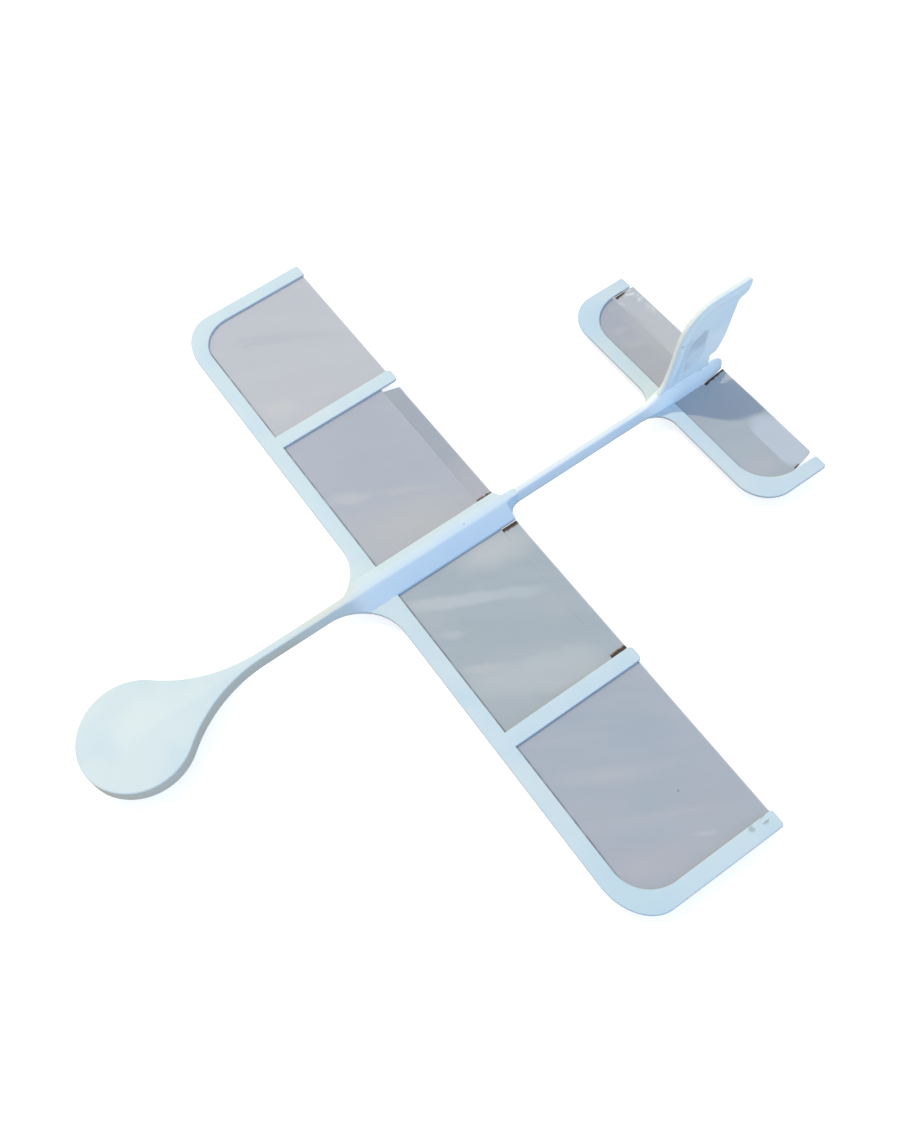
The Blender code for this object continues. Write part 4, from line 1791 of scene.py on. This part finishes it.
@dataclass
class Studio:
    """Pale floor, sky-soft light and the camera at the photograph's angle."""

    eye: tuple[float, float, float] = (0.20907, -0.08747, 0.39114)
    right: tuple[float, float, float] = (0.5663, 0.8192, -0.0908)
    up: tuple[float, float, float] = (-0.6918, 0.5323, 0.4879)
    back: tuple[float, float, float] = (0.4480, -0.2135, 0.8681)
    lens: float = 39.94
    to_sun: tuple[float, float, float] = (-0.575, -0.22, 1.0)
    sun_colour: Tone = (1.0, 0.84, 0.57)
    sun_strength: float = 1.5
    sun_width: float = 3.0
    dome: Tone = (0.54, 0.52, 0.562)
    port_glow: Tone = (0.0, 0.45, 1.02)
    starboard_glow: Tone = (0.365, 0.51, 0.50)
    backdrop: Tone = (0.95, 0.95, 0.95)
    floor_tone: Tone = (0.62, 0.62, 0.62)
    floor_glow: float = 0.72
    floor_half: float = 9.0
    drop: float = 5.1

    def floor(self) -> None:
        """Lays the floor low enough for a trim tab that is bent right down."""
        mesh_data = bmesh.new()
        bmesh.ops.create_grid(mesh_data, x_segments=1, y_segments=1, size=self.floor_half)
        bmesh.ops.translate(mesh_data, vec=(0.0, 0.0, -self.drop * MM), verts=mesh_data.verts)
        item = finished("floor", mesh_data)
        material = bpy.data.materials.new("pale_floor")
        material.use_nodes = True
        graph = Graph(material.node_tree)
        inputs = material.node_tree.nodes["Principled BSDF"].inputs
        seen = graph.add("ShaderNodeLightPath").outputs["Is Camera Ray"]
        for key, value in (("Base Color", (*self.floor_tone, 1.0)), ("Roughness", 1.0),
                           ("Specular IOR Level", 0.0), ("Emission Color", (1.0, 1.0, 1.0, 1.0)),
                           ("Emission Strength", graph.times(seen, self.floor_glow))):
            graph.feed(inputs[key], value)
        item.data.materials.append(material)

    @staticmethod
    def lobe(graph: Graph, direction: Any, towards: Vector, under: Any, colour: Tone) -> Any:
        """Adds a broad soft glow from one direction to the sky.

        Args:
            graph: The sky's graph.
            direction: The socket that gives each direction of view.
            towards: Where the glow comes from.
            under: The sky's colour so far.
            colour: The glow's colour.

        Returns:
            The sky's colour with the glow.
        """
        facing = graph.vector_math("DOT_PRODUCT", {0: direction, 1: towards.normalized()}, "Value")
        return graph.mix(graph.ramp(facing, 0.60, 0.95), under, (*colour, 1.0), blend="ADD")

    def sky(self) -> None:
        """Makes an even dome with a blue glow from port and a weak one from starboard."""
        world = bpy.data.worlds.new("soft_sky")
        world.use_nodes = True
        bpy.context.scene.world = world
        graph, nodes = Graph(world.node_tree), world.node_tree.nodes
        plain = nodes["Background"]
        plain.inputs["Color"].default_value = (*self.backdrop, 1.0)
        direction = graph.add("ShaderNodeTexCoord").outputs["Generated"]
        colour: Any = (*self.dome, 1.0)
        for towards, glow in ((Vector((0.88, 0.12, 0.46)), self.port_glow),
                              (Vector((-0.88, 0.0, 0.48)), self.starboard_glow)):
            colour = self.lobe(graph, direction, towards, colour, glow)
        seen = graph.add("ShaderNodeLightPath").outputs["Is Camera Ray"]
        lit = graph.join("ShaderNodeBackground", {"Color": colour})
        choice = graph.join("ShaderNodeMixShader", {0: seen, 1: lit, 2: plain.outputs[0]})
        graph.feed(nodes["World Output"].inputs["Surface"], choice)

    def sun(self) -> None:
        """Hangs the key light to starboard and a little ahead."""
        light = bpy.data.lights.new("key", "SUN")
        light.energy = self.sun_strength
        light.color = self.sun_colour
        light.angle = math.radians(self.sun_width)
        item = bpy.data.objects.new("key", light)
        item.rotation_mode = "QUATERNION"
        item.rotation_quaternion = Vector(self.to_sun).to_track_quat("Z", "Y")
        bpy.context.scene.collection.objects.link(item)

    def camera(self) -> None:
        """Sets the camera where the photograph was taken from."""
        data = bpy.data.cameras.new("camera")
        data.lens = self.lens
        data.sensor_width = 36.0
        data.clip_start = 0.01
        data.clip_end = 50.0
        item = bpy.data.objects.new("camera", data)
        turn = Matrix((self.right, self.up, self.back)).transposed()
        item.matrix_world = Matrix.Translation(self.eye) @ turn.to_4x4()
        bpy.context.scene.collection.objects.link(item)
        bpy.context.scene.camera = item

    def build(self) -> None:
        """Sets the whole stage."""
        self.floor()
        self.sky()
        self.sun()
        self.camera()
        bpy.context.scene.view_settings.view_transform = "Standard"


def port_wing_film() -> WingFilm:
    """Makes the port wing's film, with its pale bands and warm half.

    Returns:
        The film, not yet built.
    """
    warm = (0.505, 0.55, 0.575)
    inner = FilmFinish(
        "film_wing_inner_port", base=(0.40, 0.465, 0.512), blush=(0.415, 0.475, 0.515), shift=4.0,
        streak=0.18, front_line=WING_LINE, patches=(
            Patch(12.5, 25.0, 24.0, 10.5, (0.54, 0.575, 0.585), 78.0, 0.9),
            Patch(62.5, 8.0, 36.0, 9.0, warm, 65.0, 0.65, 0.85),
            Patch(61.0, 17.0, 21.0, 5.5, (0.50, 0.555, 0.58), 66.0, 0.6, 0.6),
            Patch(49.0, -6.0, 11.0, 2.8, (0.525, 0.555, 0.565), 62.0, 0.7, 0.8),
            Patch(18.2, -5.0, 15.0, 3.8, (0.52, 0.565, 0.588), 60.5, 0.65, 0.9, 0.6),
            Patch(24.5, 7.5, 15.0, 3.6, (0.52, 0.57, 0.61), 60.5, 0.65, 0.85, 0.6),
            Patch(31.5, 20.0, 15.0, 3.4, (0.485, 0.55, 0.59), 60.5, 0.7, 0.9, 0.6),
            Patch(31.5, -7.0, 5.5, 2.2, (0.49, 0.55, 0.59), 50.0, 0.8, 0.7, 0.8)))
    tab = replace(inner, name="film_wing_tab_port", front_line=None, free_edge=WING_END,
                  # The cuts paint shade into the open slits beside the tab.
                  cuts=(Cut(7.9, 51.0, 59.0, 0.0, 0.75, 1.45),
                        Cut(71.5, 51.2, 59.0, 0.0, 0.35, 0.95)))
    outer = FilmFinish(
        "film_wing_outer_port", base=(0.413, 0.468, 0.535), blush=(0.432, 0.468, 0.53),
        pale=(0.47, 0.505, 0.565), shift=9.0, streak=0.2, front_line=WING_LINE,
        free_edge=WING_END, specks_and_shade=(Mark(39.3, 121.6, 0.2, 0.15, 0.6, 0.5),), patches=(
            Patch(101.0, 22.0, 22.0, 9.0, (0.378, 0.442, 0.53), 60.0, 0.95, 0.9),
            Patch(83.0, 10.0, 18.0, 4.0, (0.39, 0.455, 0.535), 62.0, 0.9, 0.7),
            Patch(135.0, -2.0, 24.0, 9.0, (0.465, 0.478, 0.53), 72.0, 0.9, 0.9),
            Patch(104.0, 4.0, 21.0, 5.5, (0.468, 0.50, 0.55), 58.0, 0.85, 0.9),
            Patch(126.0, 12.0, 24.0, 2.2, (0.455, 0.485, 0.54), 62.0, 0.8),
            Patch(137.3, 17.0, 6.5, 1.2, (0.53, 0.56, 0.60), 62.0, 0.8, 0.7, 0.6)))
    return WingFilm(Side.PORT, inner, outer, tab)


def starboard_wing_film() -> WingFilm:
    """Makes the starboard wing's film: paler, with a bent trim tab and an open notch.

    Returns:
        The film, not yet built.
    """
    inner = FilmFinish(
        "film_wing_inner_starboard", base=(0.465, 0.495, 0.56), blush=(0.45, 0.485, 0.55),
        pale=(0.50, 0.53, 0.575), shift=14.0, streak=0.15, front_line=WING_LINE, patches=(
            Patch(-15.0, 6.0, 38.0, 17.0, (0.515, 0.525, 0.54), 72.0, 0.95),
            Patch(-38.0, -5.0, 11.0, 3.5, (0.535, 0.562, 0.585), 62.0, 0.7, 0.8),
            Patch(-28.0, 14.0, 17.0, 2.5, (0.52, 0.54, 0.565), 62.0, 0.8, 0.7)))
    # The tab is a darker copy of the inner film: painted shade of its downward bend, on top of the
    # real shading from its droop.
    tab = replace(
        inner, name="film_wing_tab_starboard", base=(0.398, 0.434, 0.487),
        blush=(0.393, 0.43, 0.482), pale=(0.43, 0.46, 0.50), front_line=None, free_edge=WING_END,
        # The cut paints shade into the open slit beside the tab.
        cuts=(Cut(-7.5, 51.0, 59.0, core=0.3, reach=1.0),),
        patches=(Patch(-12.0, 35.0, 24.0, 14.0, (0.467, 0.475, 0.522), 0.0, 0.9),))
    outer = FilmFinish(
        "film_wing_outer_starboard", base=(0.56, 0.575, 0.613), blush=(0.565, 0.57, 0.61),
        pale=(0.59, 0.60, 0.62), shift=21.0, streak=0.15, front_line=WING_LINE,
        free_edge=WING_END, patches=(
            Patch(-122.0, 12.0, 26.0, 4.0, (0.515, 0.54, 0.585), 57.0, 0.9, 0.8),
            Patch(-126.0, 1.0, 8.0, 1.2, (0.48, 0.51, 0.56), 60.0, 0.8, 0.6),
            Patch(-90.0, -4.0, 12.0, 5.0, (0.60, 0.60, 0.61), 50.0, 0.9)))
    return WingFilm(Side.STARBOARD, inner, outer, tab, tab_end=72.0, notch=2.0,
                    ridge=Lift(rear=0.6, ease=6.0, start=-72.0, full=-62.0, end=-9.0),
                    droop=Lift(front=0.6, start=-72.0, full=-62.0, end=-9.0))


def tail_films() -> list[TailFilm]:
    """Makes the tailplane's film on both sides.

    Returns:
        The port film and the starboard film, not yet built.
    """
    port = FilmFinish(
        "film_tail_port", base=(0.435, 0.50, 0.545), blush=(0.43, 0.485, 0.54), shift=27.0,
        streak=0.15, front_line=TAIL_LINE, patches=(
            Patch(43.0, 123.0, 12.0, 7.0, (0.495, 0.515, 0.56), 60.0, 0.9, 0.8),))
    port_tab = replace(port, name="film_tail_tab_port", front_line=None, free_edge=161.0,
                       patches=(Patch(39.5, 135.6, 16.5, 8.5, (0.55, 0.61, 0.695), 0.0, 0.35),),
                       # The cuts paint shade into the open slits beside the tab.
                       cuts=(Cut(2.9, 151.2, 161.2, 0.14, 0.5, 0.75),
                             Cut(52.5, 151.8, 153.7, core=0.6, reach=0.9)))
    star = FilmFinish(
        "film_tail_starboard", base=(0.425, 0.455, 0.535), blush=(0.425, 0.455, 0.52), shift=33.0,
        streak=0.12, front_line=TAIL_LINE, patches=(
            Patch(-30.0, 129.5, 30.0, 6.0, (0.475, 0.505, 0.55), 0.0, 1.0, 0.9),
            Patch(-38.0, 121.5, 5.0, 2.5, (0.465, 0.495, 0.545), 60.0, 0.8),
            Patch(-28.0, 124.0, 9.0, 3.2, (0.475, 0.51, 0.55), 60.0, 0.9, 0.8)))
    star_tab = replace(star, name="film_tail_tab_starboard", base=(0.525, 0.567, 0.613),
                       blush=(0.515, 0.55, 0.60), front_line=None, free_edge=TAIL_END,
                       patches=(
                           Patch(-38.0, 130.4, 20.0, 2.6, (0.48, 0.51, 0.555), 0.0, 1.0, 0.8),),
                       # The cuts paint shade into the open slits beside the tab.
                       cuts=(Cut(-2.9, 151.2, 161.2, -0.14, 0.5, 0.75),
                             Cut(-52.6, 151.6, 158.8, 0.22, 1.2, 1.6)),
                       creases=(Mark(153.2, -48.9, 0.2, 1.2, 3.4, 0.6),
                                Mark(157.0, -50.4, 0.2, 0.8, 2.8, 0.9),
                                Mark(159.2, -46.2, 0.2, 0.8, 3.0, 0.8),
                                Mark(159.8, -39.5, 0.2, 0.6, 4.5, 0.45)))
    return [TailFilm(Side.PORT, port, port_tab, notch=1.8, corner=1.6, rear=161.0,
                     curl=Lift(rear=0.5)),
            TailFilm(Side.STARBOARD, star, star_tab, notch=0.1, corner=0.4, rear=TAIL_END,
                     curl=Lift(rear=0.45))]


def spine() -> Spine:
    """Makes the spine with its three plastics.

    Returns:
        The spine, not yet built.
    """
    # The neck's wash is painted light: a warm tint that offsets the blue glow from port on the
    # neck. The nose's warm wall tone is painted shade on its low walls, warmed the same way.
    neck = Wash(-18.0, 0.0, 3.0, 3.0, 20.0, (0.72, 0.75, 0.68), 0.85)
    nose = PlasticFinish("nose_plastic", base=(0.655, 0.76, 0.775), cool=(0.59, 0.715, 0.775),
                         warm=(0.70, 0.785, 0.77), wall=(0.66, 0.63, 0.51), washes=(neck,))
    body = PlasticFinish("body_plastic", base=(0.625, 0.76, 0.845), cool=(0.585, 0.725, 0.85),
                         warm=(0.665, 0.78, 0.83), wall_top=1.0,
                         # The neck's warm painted light, reused over the body's front.
                         washes=(replace(neck, reach=18.0),),
                         marks=(Mark(40.4, 0.2, 5.8, 0.12, 0.4, 0.8),))
    boom = PlasticFinish("tail_boom_plastic", base=(0.76, 0.84, 0.87), cool=(0.71, 0.81, 0.88),
                         warm=(0.79, 0.85, 0.87), wall_top=1.0,
                         # The pale wash over the fairing is painted light.
                         washes=(Wash(141.0, 0.0, 6.0, 13.0, 21.0, (0.94, 0.99, 0.98), 0.95),))
    return Spine(nose, body, boom)


def flat_frames() -> list[FlatFrame]:
    """Makes the wing's and the tailplane's frames, side by side.

    Returns:
        The four frames, not yet built.
    """
    wings = {
        Side.PORT: PlasticFinish(
            "wing_frame_plastic_port", base=(0.57, 0.705, 0.77), cool=(0.51, 0.665, 0.76),
            warm=(0.62, 0.72, 0.755),
            washes=(Wash(4.0, 143.0, 1.2, 6.0, 24.0, (0.50, 0.665, 0.76), 0.8),),
            marks=(Mark(49.4, 145.0, 1.2, 0.4, 1.7, 0.5), Mark(54.4, 144.9, 1.2, 0.7, 2.2, 0.7))),
        Side.STARBOARD: PlasticFinish(
            "wing_frame_plastic_starboard", base=(0.615, 0.745, 0.785), cool=(0.57, 0.71, 0.80),
            warm=(0.66, 0.765, 0.765)),
    }
    tails = {
        side: replace(plastic, name="tail_frame_plastic_" + side.word, marks=(), washes=(),
                      base=(0.575, 0.70, 0.765), cool=(0.52, 0.675, 0.775))
        for side, plastic in wings.items()}
    # Painted shade on the rib's inner wall beside the starboard tab's open slit, laid on as dark
    # marks.
    slit_wall_shade = tuple(Mark(aft, -52.9, 0.4, 0.4, 0.95, 0.9) for aft in (152.2, 153.4, 154.6))
    tails[Side.STARBOARD] = replace(
        tails[Side.STARBOARD], marks=slit_wall_shade,
        washes=(Wash(135.0, -52.0, 1.2, 5.0, 18.0, (0.51, 0.67, 0.79), 0.8),))
    return [kind(side, plastics[side]) for side in Side
            for kind, plastics in ((WingFrame, wings), (TailFrame, tails))]


def fin() -> Fin:
    """Makes the fin with its three plastics and its film.

    Returns:
        The fin, not yet built.
    """
    # The fin's plastics are paler than the frames': painted light standing in for the sun shining
    # through the thin fin, with some real light from their subsurface glow.
    edge = PlasticFinish("fin_rim_plastic", base=(0.86, 0.95, 0.90), cool=(0.82, 0.94, 0.93),
                         warm=(0.90, 0.95, 0.87), glow=0.25, wall_top=1.0,
                         # The bluer wash low on the rim is painted shade on the rim's lower part.
                         washes=(Wash(133.6, 0.0, 17.0, 6.0, 13.0, (0.82, 0.93, 0.99), 0.9),),
                         # A fine dark level line is drawn across the rim at 30.7 mm.
                         level_lines=(Mark(138.5, 0.9, 30.7, 1.9, 2.6, 0.6),))
    shade = tuple(Wash(aft, 0.0, height, 1.0, 2.8, (0.58, 0.70, 0.80), 0.45) for aft, height in (
        (136.9, 12.0), (137.4, 15.0), (138.1, 18.0), (138.9, 21.0), (139.7, 24.0), (140.8, 27.0),
        (142.4, 30.0)))
    behind = Wash(154.0, 0.0, 20.0, 4.0, 11.0, (0.93, 0.97, 0.92), 0.8)
    plate = PlasticFinish("fin_plastic", base=(0.82, 0.89, 0.86), cool=(0.75, 0.87, 0.90),
                          warm=(0.84, 0.90, 0.86), glow=0.25, wall_top=1.0,
                          washes=(*shade, behind))
    # The window's film is far paler than the other films: painted light standing in for the sun
    # shining through it.
    pane = FilmFinish("fin_film", base=(0.86, 0.90, 0.89), pale=(0.88, 0.92, 0.91),
                      blush=(0.83, 0.88, 0.88), opacity=0.97,
                      # Painted shade in the window: along its front edge and over its upper part.
                      specks_and_shade=(Mark(141.2, 0.0, 16.0, 0.6, 4.5, 0.14),
                              Mark(141.8, 0.0, 23.0, 0.6, 4.5, 0.14),
                              Mark(147.8, 0.0, 28.0, 3.0, 7.0, 0.27)))
    bead = PlasticFinish("glue_bead_plastic", base=(0.92, 0.97, 0.97), cool=(0.88, 0.96, 0.98),
                         warm=(0.93, 0.96, 0.95), roughness=0.35, wall_top=1.0)
    return Fin(plate, edge, pane, bead)


def main() -> None:
    """Builds the stage and every piece; each piece's face count is logged as it is dressed."""
    logging.basicConfig(level=logging.INFO, format="%(name)s: %(message)s")
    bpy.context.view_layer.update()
    Studio().build()
    effects = Effects()
    sheets = SheetTree()
    for moulding in (spine(), *flat_frames()):
        moulding.build(effects)
    fin().build(effects, BeadTree())
    for film in (port_wing_film(), starboard_wing_film(), *tail_films()):
        film.build(effects, sheets)


if __name__ == "__main__":
    main()
